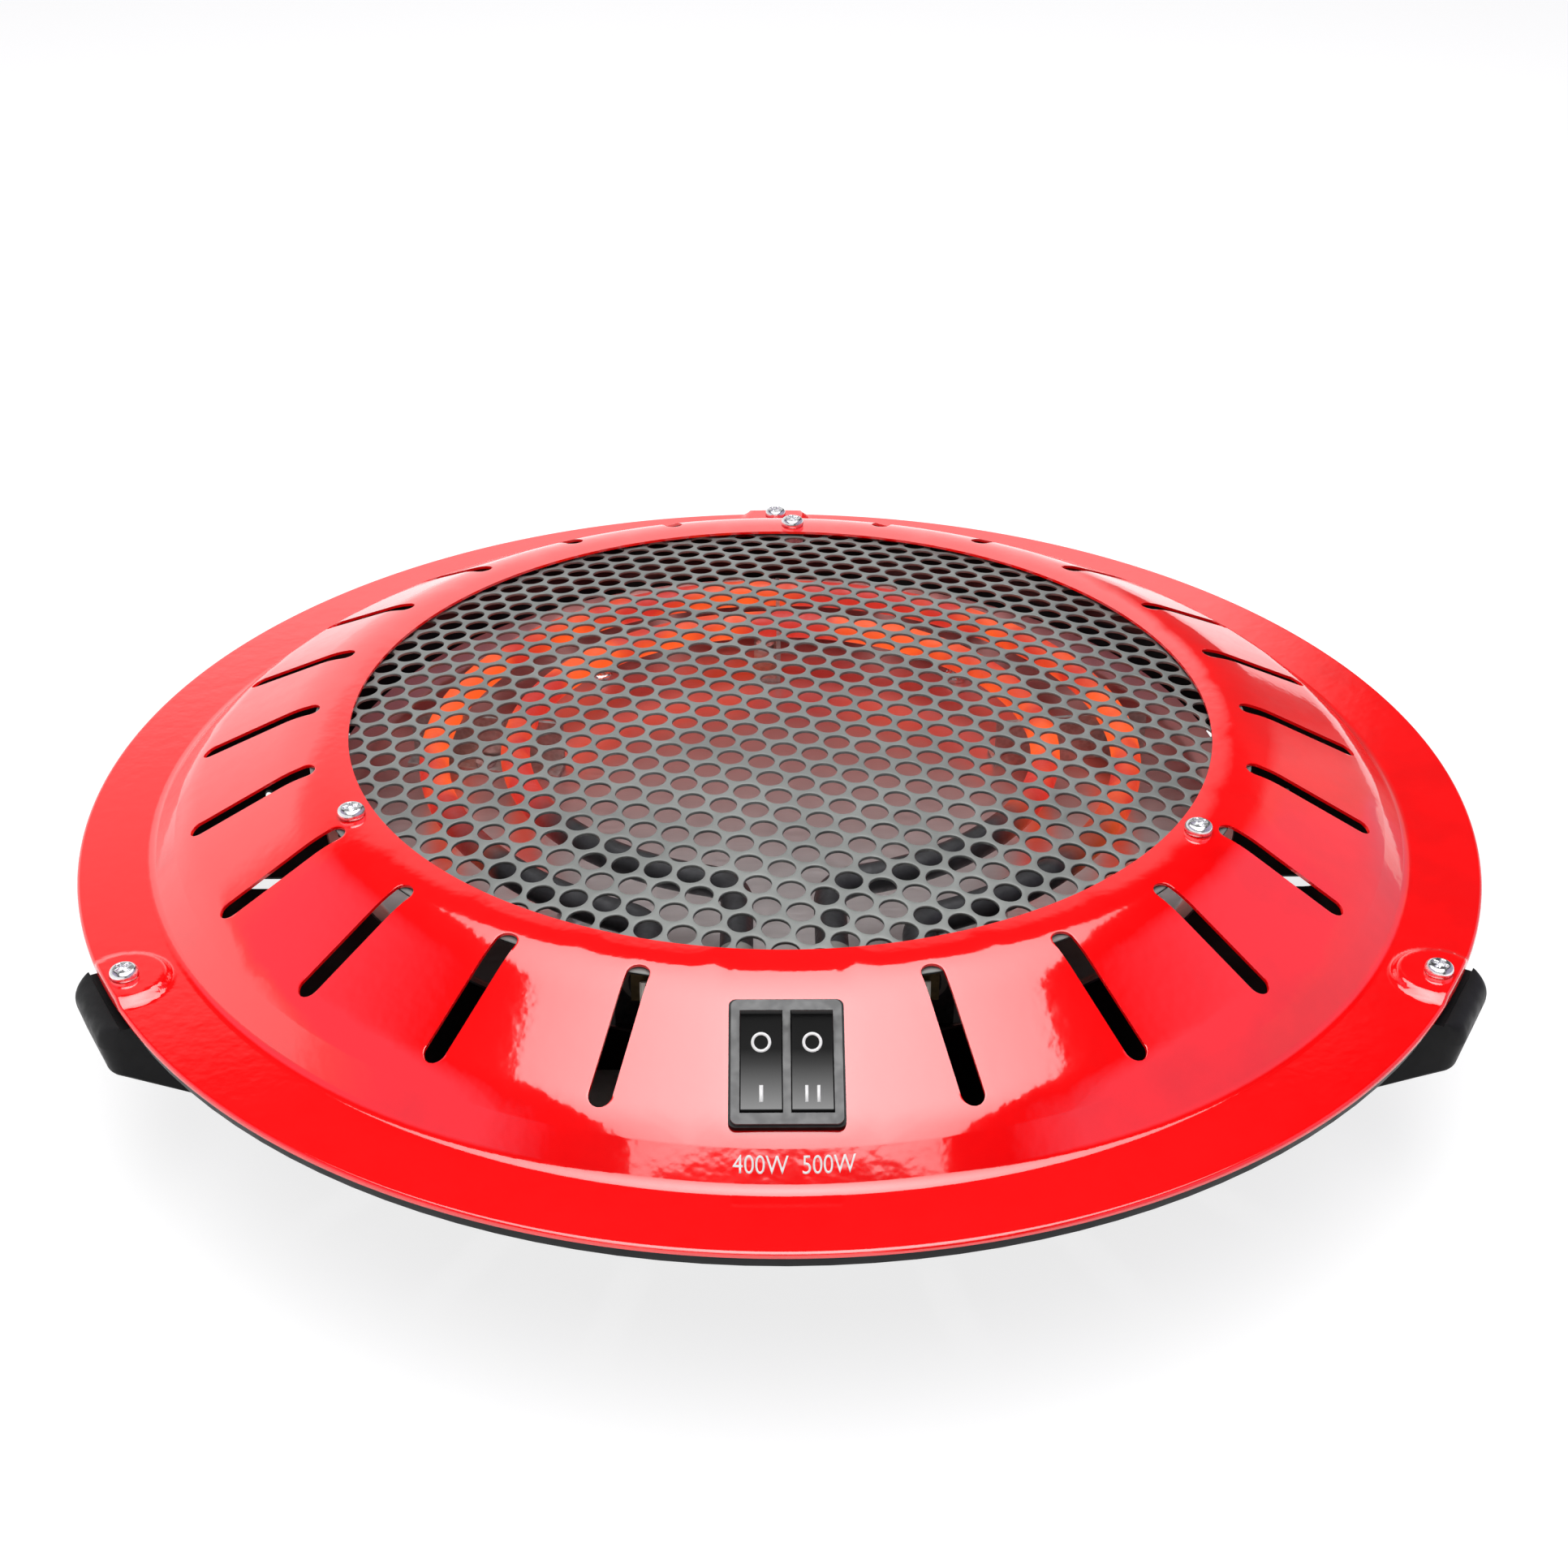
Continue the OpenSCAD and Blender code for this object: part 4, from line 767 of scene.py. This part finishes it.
def reflector_metal(colour):
    """Rolled aluminium with faint marks, tinted pink behind as a painted reflection of the tubes' glow,
    and darkened at its outer front edge as painted shade under the cover.
    """
    look = Finish("reflector_aluminium", colour, 0.34, 1.0)
    y = look.along("Y")
    outer, front = look.spread(look.radius(), 0.090, 0.102, 0, 1), look.spread(y, -0.075, -0.055, 1, 0)
    bright = look.shaded(look.noise(35, 4, (1, 6, 1)), 0.93, 1.03)
    # painted reflection: pink laid over the back, where the tubes' glow would be reflected
    glow_reflected = look.blend(look.spread(y, -0.045, 0.02, 0, 1), bright, PAINTED_GLOW_REFLECTION)
    # painted shade: the outer front edge, under the cover, is taken nearly to black
    look.blend(look.product(outer, front), glow_reflected, PAINTED_EDGE_SHADE)
    look.uneven(look.noise(160, 3, (1, 12, 1)), 0.28, 0.40)
    look.bump((look.noise(900, 2, (1, 20, 1)), 0.000002), (look.noise(25, 1), 0.0001))
    return look.material


def zinc(colour, name, roughness):
    """Zinc plate: a crystal pattern that varies the gloss, and tiny pits."""
    look = Finish(name, colour, roughness, 1.0)
    look.shaded(look.grains(700), 0.9, 1.06)
    look.uneven(look.noise(900, 3), roughness * 0.75, roughness * 1.3)
    look.bump((look.noise(2600, 2), 0.000006))
    return look.material


def moulded(colour, name, roughness, grain, height, sheen=0.5, face=None, painted_sheen_span=None):
    """Moulded plastic or rubber with a spark-eroded grain.

    With a face it is painted black below that height on the switch, its sheen taken down too: painted
    shade in the rocker wells and on the frame's sides. With a sheen span, the sheen changes along Y as a
    painted reflection: black at a rocker's upper end, grey at its lower end."""
    look = Finish(name, colour, roughness, sockets={"Specular IOR Level": sheen})
    tones = look.shaded(look.noise(90, 3), 0.85, 1.2)
    if face:
        # painted shade: below the face's height the plastic is painted black and its sheen taken down,
        # standing for shade in the wells
        level = look.measure("DOT_PRODUCT", look.place, SWITCH_UP)
        above = look.spread(level, face - 0.0009, face - 0.0004, 0, 1)
        look.blend(above, PAINTED_RECESS_SHADE, tones)
        look.sink(look.spread(above, 0, 1, 0.05, sheen), "Specular IOR Level")
    # painted reflection: the sheen falls along Y, so a rocker's upper end looks black and its lower end
    # grey
    if painted_sheen_span:
        look.sink(look.spread(look.along("Y"), *painted_sheen_span), "Specular IOR Level")
    look.uneven(look.noise(400, 2), roughness * 0.85, roughness * 1.15)
    look.bump((look.noise(grain, 3), height), (look.noise(60, 1), 4 * height))
    return look.material


def black_lacquer(colour):
    """Black sheet lacquer, slightly wavy, duller in patches, with a red-brown band painted inside its back
    as painted glow light from the tubes.

    The inside is where the radius less 0.855 times the height, as the wall leans, stays small."""
    look = Finish("black_lacquer", colour, 0.4, sockets={
        "Coat Weight": 0.1, "Coat Roughness": 0.2, "Specular IOR Level": 0.2})
    tones = look.shaded(look.noise(70, 3), 0.8, 1.3)
    z = look.along("Z")
    lean = look.maths("MULTIPLY_ADD", z, -0.855, look.radius())
    spans = ((lean, 0.1299, 0.1304, 1, 0), (look.along("Y"), 0.06, 0.10, 0, 1),
             (z, 0.028, 0.032, 0, 1), (z, 0.043, 0.049, 1, 0))
    # painted glow light: a band of the inner back wall is tinted red-brown as the tubes' glow would light
    # it
    glow_band = look.product(*(look.spread(*span) for span in spans))
    look.blend(glow_band, tones, PAINTED_GLOW_LIGHT)
    look.uneven(look.noise(130, 3), 0.32, 0.5)
    look.bump((look.noise(420, 2), 0.00004))
    return look.material


def hot_tube(glow, ember, cold):
    """Heating tube: black oxide on its cold front ends, glowing orange red round the sides and back."""
    look = Finish("glowing_tube", cold, 0.5, 0.6)
    front = look.maths("MULTIPLY", look.along("Y"), -1.0)
    turn = look.maths("ABSOLUTE", look.maths("ARCTAN2", look.along("X"), front))
    turn = look.maths("ADD", turn, look.spread(look.noise(28, 1), 0.3, 0.7, -0.07, 0.07))
    heat = look.maths("POWER", look.spread(turn, math.radians(46), math.radians(66), 0, 1), 1.6)
    patches = look.spread(look.noise(38, 2), 0.42, 0.60, 0, 1)
    look.blend(patches, (*ember, 1), (*glow, 1), "Emission Color")
    look.sink(look.spread(heat, 0, 1, 0, 1.22), "Emission Strength")
    look.blend(look.noise(300, 3), (*cold, 1), tuple(2.5 * c for c in cold) + (1,))
    look.uneven(look.noise(500, 2), 0.42, 0.6)
    look.bump((look.noise(1100, 2), 0.00002))
    return look.material


def printed(colour):
    """White printing ink with soft uneven cover."""
    look = Finish("white_print", colour, 0.45)
    look.shaded(look.noise(1500, 2), 0.94, 1.02)
    look.bump((look.noise(2500, 2), 0.000005))
    return look.material


def glazed(colour):
    """Unglazed technical ceramic with fine pores."""
    look = Finish("ceramic", colour, 0.6)
    look.shaded(look.noise(200, 3), 0.9, 1.05)
    look.uneven(look.noise(600), 0.5, 0.7)
    look.bump((look.noise(2200, 2), 0.00002))
    return look.material


def dress(material, *nodes):
    """Gives CAD nodes that keep their own shape a material."""
    for node in nodes:
        NODES[node].data.materials.clear()
        NODES[node].data.materials.append(material)


# Settings

def chosen(context):
    """The sizes and the colours that the panel shows."""
    return context.scene.brazier_sizes, context.scene.brazier_colours


def length(name, text, default, low, high):
    """Length in metres that the panel shows."""
    return FloatProperty(name=name, description=text, default=default, min=low, max=high,
                         subtype="DISTANCE", unit="LENGTH", precision=5)


def tone(name, text, default):
    """Colour that the panel shows."""
    return FloatVectorProperty(name=name, description=text, default=default, min=0, max=1,
                               size=3, subtype="COLOR")


class BrazierSizes(bpy.types.PropertyGroup):
    """Sizes of the finished pieces"""
    sheet: length("Cover sheet", "Thickness of the cover's steel", 0.0008, 0.0004, 0.0016)
    sheet_edge: length("Cut edge", "Rounding of the cover's cut edges", 0.00022, 0.00005, 0.0003)
    slot_in: length("Slot start", "Radius of an air slot's inner tip", 0.1262, 0.124, 0.130)
    slot_out: length("Slot end", "Radius of an air slot's outer tip", 0.1598, 0.150, 0.161)
    slot_width: length("Slot width", "Width of an air slot", 0.0055, 0.003, 0.006)
    hole_pitch: length("Hole pitch", "Distance between neighbouring grille holes", 0.00827, 0.008, 0.009)
    hole_width: length("Hole width", "Diameter of a grille hole", 0.0068, 0.006, 0.0071)
    hole_edge: length("Hole edge", "Rounding of a grille hole's upper edge", 0.00014, 0.00005, 0.0003)
    hole_limit: length("Hole limit", "Radius inside which hole centres lie", 0.1215, 0.110, 0.122)
    tube_width: length("Tube width", "Diameter of a heating tube", 0.008, 0.006, 0.0085)
    inner_ring: length("Inner ring", "Radius of the inner heating tube", 0.073, 0.070, 0.076)
    outer_ring: length("Outer ring", "Radius of the outer heating tube", 0.095, 0.092, 0.098)
    moulded_edge: length("Moulded edge", "Rounding of moulded edges", 0.0005, 0.0001, 0.001)
    switch_edge: length("Switch edge", "Rounding of the switch's edges", 0.00015, 0.00005, 0.0004)
    edge_steps: IntProperty(name="Edge steps", description="Faces across a rounded edge",
                            default=2, min=1, max=4)


class BrazierColours(bpy.types.PropertyGroup):
    """Colours of the materials"""
    enamel: tone("Enamel", "Cover", (0.88, 0.0018, 0.003))
    grille: tone("Grille", "Lacquered perforated sheet", (0.20, 0.21, 0.20))
    aluminium: tone("Aluminium", "Reflector", (0.72, 0.68, 0.68))
    zinc: tone("Zinc", "Screws and nuts", (0.8, 0.8, 0.82))
    steel: tone("Steel", "Clips and spacers", (0.5, 0.49, 0.48))
    dull_steel: tone("Dull steel", "Terminal bracket", (0.12, 0.12, 0.12))
    brass: tone("Brass", "Terminals, browned by heat", (0.22, 0.16, 0.08))
    lacquer: tone("Lacquer", "Pan", (0.005, 0.005, 0.0055))
    bezel: tone("Bezel", "Frame of the switch", (0.05, 0.05, 0.05))
    rocker: tone("Rockers", "Rockers of the switch", (0.003, 0.003, 0.003))
    moulding: tone("Moulding", "Feet and cord inlet", (0.011, 0.011, 0.0115))
    rubber: tone("Rubber", "Pads under the feet", (0.02, 0.02, 0.02))
    ceramic: tone("Ceramic", "Bushings and terminal block", (0.22, 0.21, 0.19))
    sleeve: tone("Sleeve", "Glass sleeve of the wires", (0.72, 0.69, 0.62))
    glow: tone("Glow", "Hottest part of a tube", (0.80, 0.085, 0.007))
    ember: tone("Ember", "Cooler part of a tube", (0.48, 0.018, 0.008))
    cold: tone("Cold tube", "Oxide on the cold ends", (0.03, 0.03, 0.032))
    ink: tone("Ink", "Printed marks", (0.74, 0.74, 0.73))
    floor: tone("Floor", "Studio floor", (0.86, 0.86, 0.86))


# Operators

class BRAZIER_OT_cover(bpy.types.Operator):
    """Build the enamelled cover with its slots, raised pads and rolled rim"""
    bl_idname = "brazier.cover"
    bl_label = "Cover"

    def execute(self, context):
        sizes, colours = chosen(context)
        verts, faces = cover_sheet(sizes)
        cover = make_piece("enamelled_cover", verts, faces, enamel(colours.enamel),
                           stands_for=("top_cover",), weld=2e-6)
        thicken(cover, sizes.sheet)
        round_edges(cover, sizes.sheet_edge, sizes.edge_steps, 50.0)
        return {"FINISHED"}


class BRAZIER_OT_grille(bpy.types.Operator):
    """Build the domed perforated grille"""
    bl_idname = "brazier.grille"
    bl_label = "Grille"

    def execute(self, context):
        sizes, colours = chosen(context)
        rim_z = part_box("grille")[0].z + GRILLE_T
        verts, faces = grille_sheet(sizes, rim_z)
        grille = make_piece("perforated_grille", verts, faces, grille_metal(colours.grille),
                            stands_for=("grille",), weld=1.2e-6)
        even_shading(grille)
        return {"FINISHED"}


class BRAZIER_OT_heating(bpy.types.Operator):
    """Build the two glowing ring tubes"""
    bl_idname = "brazier.heating"
    bl_label = "Heating tubes"

    def execute(self, context):
        sizes, colours = chosen(context)
        material = hot_tube(colours.glow, colours.ember, colours.cold)
        rings = (("inner", sizes.inner_ring, INNER_LEAD_X), ("outer", sizes.outer_ring, OUTER_LEAD_X))
        for name, ring_r, lead_x in rings:
            verts, faces = tube(element_path(ring_r, lead_x), sizes.tube_width / 2, 24)
            node = f"{name}_element"
            ring = make_piece(f"{name}_heating_tube", verts, faces, material,
                              stands_for=(node,))
            even_shading(ring)
        return {"FINISHED"}


class BRAZIER_OT_screws(bpy.types.Operator):
    """Build the cross-recessed screws of the cover and the grille"""
    bl_idname = "brazier.screws"
    bl_label = "Screws"

    def execute(self, context):
        material = zinc(context.scene.brazier_colours.zinc, "bright_zinc", 0.22)
        inner = ("inner_screws", "grille_screws", GRILLE_SCREW_R, GRILLE_SCREW_TURN, 0.00175, 0.0072, 0.35)
        outer = ("outer_screws", "foot_screws", FOOT_SCREW_R, 0, 0.002, 0.0165, 0.9)
        for node, name, r, turn, shank_r, shank_l, recess_turn in (inner, outer):
            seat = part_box(node)[1].z - HEAD_H
            verts, faces = screw_form(shank_r, shank_l, recess_turn)
            places = azimuth_point(np.array(FOOT_AZIMUTHS) + turn, r)
            verts, faces = joined([(verts + (*place, seat), faces) for place in places])
            make_piece(name, verts, faces, material, stands_for=(node,), weld=2e-6)
        dress(material, "inner_nuts", "reflector_screws", "reflector_nuts", "earth_screw")
        return {"FINISHED"}


class BRAZIER_OT_switch(bpy.types.Operator):
    """Round the double rocker switch, and print its marks and the two power levels"""
    bl_idname = "brazier.switch"
    bl_label = "Switch"

    def execute(self, context):
        sizes, colours = chosen(context)
        places = np.array([v.co for v in NODES["switch_housing"].data.vertices])
        face = float((places @ SWITCH_UP).max())
        # the switch body gets painted shade below its face
        body = moulded(colours.bezel, "switch_plastic", 0.5, 2600, 0.000012, 0.9, face=face)
        # the rockers' sheen falls along Y as a painted reflection, dark at their upper ends
        rocker = moulded(colours.rocker, "rocker_plastic", 0.09, 3000, 0.000002,
                         painted_sheen_span=(-0.159, -0.147, 0.75, 0.06))
        ink = printed(colours.ink)
        rounded_copy("switch_housing", "switch_body", body, sizes.switch_edge, sizes.edge_steps)
        for side, word in ((-1, "left"), (1, "right")):
            node = f"{word}_rocker"
            rounded_copy(node, f"{word}_rocker_cap", rocker, sizes.switch_edge, sizes.edge_steps, node)
            verts, faces = ring_mark(OFF_RING_R, OFF_HOLE_R, OFF_MARK_Y)
            verts = moved(verts, face_frame(side, True))
            make_piece(f"{word}_off_mark", verts, faces, ink, body=node)
            bars = [(0.00085, 0)] if side < 0 else [(0.0007, -0.0013), (0.0007, 0.0013)]
            for k, (width, x) in enumerate(bars):
                verts, faces = bar_mark(width, x, ON_MARK_Y)
                verts = moved(verts, face_frame(side, False))
                make_piece(f"{word}_on_mark_{k + 1}", verts, faces, ink, body=node)
        for text, x, width in (("400W", -0.00575, 0.0120), ("500W", 0.0090, 0.0115)):
            mark = self.lay_on_cover(f"power_{text}", letters(text, width), x, ink)
            thicken(mark, 2 * MARK_T)
        return {"FINISHED"}

    def lay_on_cover(self, name, form, x, ink):
        """Bends flat lettering over the cover: its height becomes arc length along the cover's path."""
        verts, faces = form
        mesh = bpy.data.meshes.new(name)
        mesh.from_pydata(verts.tolist(), [], faces)
        with edited(mesh) as bm:
            bmesh.ops.triangulate(bm, faces=bm.faces)
            for _ in range(3):
                long = [e for e in bm.edges if e.calc_length() > 0.0007]
                bmesh.ops.subdivide_edges(bm, edges=long, cuts=1)
                bmesh.ops.triangulate(bm, faces=bm.faces)
        r, z = COVER_PATH[:, 0], COVER_PATH[:, 1]
        arc = np.concatenate([[0], np.cumsum(np.hypot(np.diff(r), np.diff(z)))])
        middle = np.interp(TEXT_R, r[:-1], arc[:-1])

        def bent(flat):
            radius = np.interp(middle - flat[:, 1], arc, r)
            across = flat[:, 0] + x
            height = cover_z(radius) + 0.00005
            return np.column_stack([across, -np.sqrt(radius ** 2 - across ** 2), height])

        move_points(mesh, bent)
        return finish_piece(name, mesh, ink, HEATER, ())


class BRAZIER_OT_feet(bpy.types.Operator):
    """Build the three moulded feet and their rubber pads"""
    bl_idname = "brazier.feet"
    bl_label = "Feet"

    def execute(self, context):
        sizes, colours = chosen(context)
        material = moulded(colours.moulding, "foot_moulding", 0.45, 1700, 0.00002, 0.12)
        for word, azimuth in zip(("left", "back", "right"), FOOT_AZIMUTHS):
            verts, faces = foot_form(azimuth)
            foot = make_piece(f"{word}_foot", verts, faces, material, stands_for=(f"foot_{word}",),
                              weld=1e-6)
            round_edges(foot, sizes.moulded_edge, sizes.edge_steps, 50.0)
        rubber = moulded(colours.rubber, "pad_rubber", 0.8, 1300, 0.00004)
        verts, faces = joined([pad_form(azimuth) for azimuth in FOOT_AZIMUTHS])
        make_piece("foot_pads_round", verts, faces, rubber, stands_for=("foot_pads",),
                   weld=1e-6)
        return {"FINISHED"}


class BRAZIER_OT_inside(bpy.types.Operator):
    """Dress the pan, the reflector and the electrical parts"""
    bl_idname = "brazier.inside"
    bl_label = "Inside parts"

    def execute(self, context):
        colours = context.scene.brazier_colours
        lacquer = black_lacquer(colours.lacquer)
        rounded_copy("base_pan", "lacquered_pan", lacquer, 0.00015, 1, reshape=self.trim_lip)
        dress(reflector_metal(colours.aluminium), "reflector")
        dress(zinc(colours.steel, "sheet_steel", 0.38), "reflector_spacers", "element_clips")
        dress(zinc(colours.dull_steel, "dull_steel", 0.5), "terminal_bracket")
        dress(zinc(colours.aluminium, "rivet_aluminium", 0.4), "clip_rivets", "bracket_rivets",
              "cutout_rivets")
        dress(zinc(colours.brass, "brass", 0.42), "element_terminals", "switch_tabs", "terminal_screws")
        dress(glazed(colours.ceramic), "element_bushings", "terminal_block")
        dress(moulded(colours.rocker, "cutout_plastic", 0.45, 1500, 0.00002), "thermal_cutout")
        dress(moulded(colours.moulding, "gland_plastic", 0.55, 1500, 0.00002), "cable_gland", "gland_nut")
        dress(moulded(colours.sleeve, "wire_sleeve", 0.5, 900, 0.00005), "internal_wires")
        return {"FINISHED"}

    def trim_lip(self, places):
        """Raises what hangs too low on the pan's outer lip to the lip's lower edge."""
        outer = np.hypot(places[:, 0], places[:, 1]) > PAN_LIP_R
        places[outer, 2] = np.maximum(places[outer, 2], PAN_LIP_Z)
        return places


class BRAZIER_OT_stage(bpy.types.Operator):
    """Set up the floor, the soft lamp, the white surroundings and the camera"""
    bl_idname = "brazier.stage"
    bl_label = "Stage"

    def execute(self, context):
        self.floor(context.scene.brazier_colours.floor)
        self.surroundings(context.scene)
        self.lamp()
        self.camera(context.scene)
        context.scene.view_settings.view_transform = "Standard"
        return {"FINISHED"}

    def floor(self, colour):
        """Level square in which only the camera and mirrors see an even lift towards white."""
        mesh = bpy.data.meshes.new("floor")
        corners = [(x * FLOOR_HALF, y * FLOOR_HALF, 0) for x, y in ((-1, -1), (1, -1), (1, 1), (-1, 1))]
        mesh.from_pydata(corners, [], [(0, 1, 2, 3)])
        floor = bpy.data.objects.new("floor", mesh)
        bpy.context.scene.collection.objects.link(floor)
        look = Finish("studio_floor", colour, 0.9, sockets={"Emission Color": (1, 1, 1, 1)})
        rays = look.node("ShaderNodeLightPath").outputs
        seen = look.maths("MAXIMUM", rays["Is Camera Ray"], rays["Is Glossy Ray"])
        look.blend(seen, (*colour, 1), (0.32, 0.32, 0.32, 1))
        look.sink(look.spread(seen, 0, 1, 0, 0.78), "Emission Strength")
        mesh.materials.append(look.material)

    def surroundings(self, scene):
        """White to the camera; else a pale horizon, a dark room above it and dim walls at the sides.

        The tones are spread over the height and over X of a direction, each from -1 to 1."""
        world = bpy.data.worlds.new("surroundings")
        scene.world = world
        world.use_nodes = True
        tree = world.node_tree

        def graded(source, *stops):
            ramp = add_node(tree, "ShaderNodeValToRGB", {"Fac": source})
            elements = ramp.color_ramp.elements
            for k, (at, shade) in enumerate(stops):
                stop = elements[k] if k < 2 else elements.new(0.5 + at / 2)
                stop.position = 0.5 + at / 2
                stop.color = (*shade, 1) if isinstance(shade, tuple) else (shade, shade, shade, 1)
            return ramp.outputs["Color"]

        def mixed(kind, factor, low, high):
            inputs = {0: factor, 6: low, 7: high}
            return add_node(tree, "ShaderNodeMix", inputs, data_type="RGBA", blend_type=kind).outputs[2]

        ahead = add_node(tree, "ShaderNodeTexCoord").outputs["Generated"]
        half = (0.5, 0.5, 0.5)
        place = add_node(tree, "ShaderNodeMapping", {"Vector": ahead, "Location": half, "Scale": half})
        split = add_node(tree, "ShaderNodeSeparateXYZ", {0: place.outputs[0]}).outputs
        low = graded(split["Z"], (0, 1.0), (0.43, 1.0), (0.48, 0.5), (0.56, 0.35), (0.60, 0.02), (1, 0.02))
        gap = graded(split["X"], (-1, 1.0), (0.20, 1.0), (0.27, 0.06), (0.50, 0.10), (0.57, 0.4), (1, 0.4))
        wall = (0.42, 0.36, 0.5)
        sides = graded(split["X"], (-0.64, wall), (-0.50, 0.0), (0.50, 0.0), (0.64, wall))
        room = mixed("LIGHTEN", 1.0, mixed("MULTIPLY", 1.0, low, gap), sides)
        seen = add_node(tree, "ShaderNodeLightPath").outputs["Is Camera Ray"]
        shown = mixed("MIX", seen, room, (1, 1, 1, 1))
        tree.links.new(shown, tree.nodes["Background"].inputs["Color"])

    def lamp(self):
        """Oblong soft lamp that faces straight down, a third as bright at its corners as in its middle."""
        light = bpy.data.lights.new("overhead_box", "AREA")
        light.shape = "RECTANGLE"
        light.size, light.size_y = LAMP_SIZE
        light.energy = LAMP_POWER
        light.use_nodes = True
        tree = light.node_tree
        across = add_node(tree, "ShaderNodeNewGeometry").outputs["Parametric"]
        gap = add_node(tree, "ShaderNodeVectorMath", {0: across, 1: (0.5, 0.5, 0)}, operation="DISTANCE")
        spans = {"Value": gap.outputs["Value"], "From Max": 0.7, "To Min": 1.5, "To Max": 0.5}
        fall = add_node(tree, "ShaderNodeMapRange", spans)
        tree.links.new(fall.outputs["Result"], tree.nodes["Emission"].inputs["Strength"])
        obj = bpy.data.objects.new("overhead_box", light)
        obj.location = LAMP_PLACE
        bpy.context.scene.collection.objects.link(obj)

    def camera(self, scene):
        """Camera in front of and above the brazier, turned by yaw, then pitch, then roll."""
        camera = bpy.data.objects.new("camera", bpy.data.cameras.new("camera"))
        camera.data.lens = CAMERA_LENS
        camera.data.sensor_width = 36.0
        camera.matrix_world = Matrix.Translation(CAMERA_PLACE)
        for angle, axis in ((-CAMERA_YAW, "Z"), (math.pi / 2 - CAMERA_PITCH, "X"), (CAMERA_ROLL, "Z")):
            camera.matrix_world = camera.matrix_world @ Matrix.Rotation(angle, 4, axis)
        scene.collection.objects.link(camera)
        scene.camera = camera


class BRAZIER_PT_panel(bpy.types.Panel):
    """Lists the brazier's pieces and settings"""
    bl_idname = "BRAZIER_PT_panel"
    bl_label = "Electric brazier"
    bl_space_type = "VIEW_3D"
    bl_region_type = "UI"
    bl_category = "Brazier"

    def draw(self, context):
        for operator in OPERATORS:
            self.layout.operator(operator.bl_idname)
        for group in chosen(context):
            box = self.layout.box()
            for name in group.__annotations__:
                box.prop(group, name)


OPERATORS = (BRAZIER_OT_cover, BRAZIER_OT_grille, BRAZIER_OT_heating, BRAZIER_OT_screws, BRAZIER_OT_switch,
             BRAZIER_OT_feet, BRAZIER_OT_inside, BRAZIER_OT_stage)
CLASSES = (BrazierSizes, BrazierColours, *OPERATORS, BRAZIER_PT_panel)


def register():
    """Registers the classes and gives scenes their settings."""
    for item in CLASSES:
        bpy.utils.register_class(item)
    bpy.types.Scene.brazier_sizes = PointerProperty(type=BrazierSizes)
    bpy.types.Scene.brazier_colours = PointerProperty(type=BrazierColours)


def unregister():
    """Takes back what register did."""
    del bpy.types.Scene.brazier_sizes
    del bpy.types.Scene.brazier_colours
    for item in reversed(CLASSES):
        bpy.utils.unregister_class(item)


def main():
    register()
    brazier = bpy.ops.brazier
    for build in (brazier.cover, brazier.grille, brazier.heating, brazier.screws,
                  brazier.switch, brazier.feet, brazier.inside, brazier.stage):
        build()


if __name__ == "__main__":
    main()
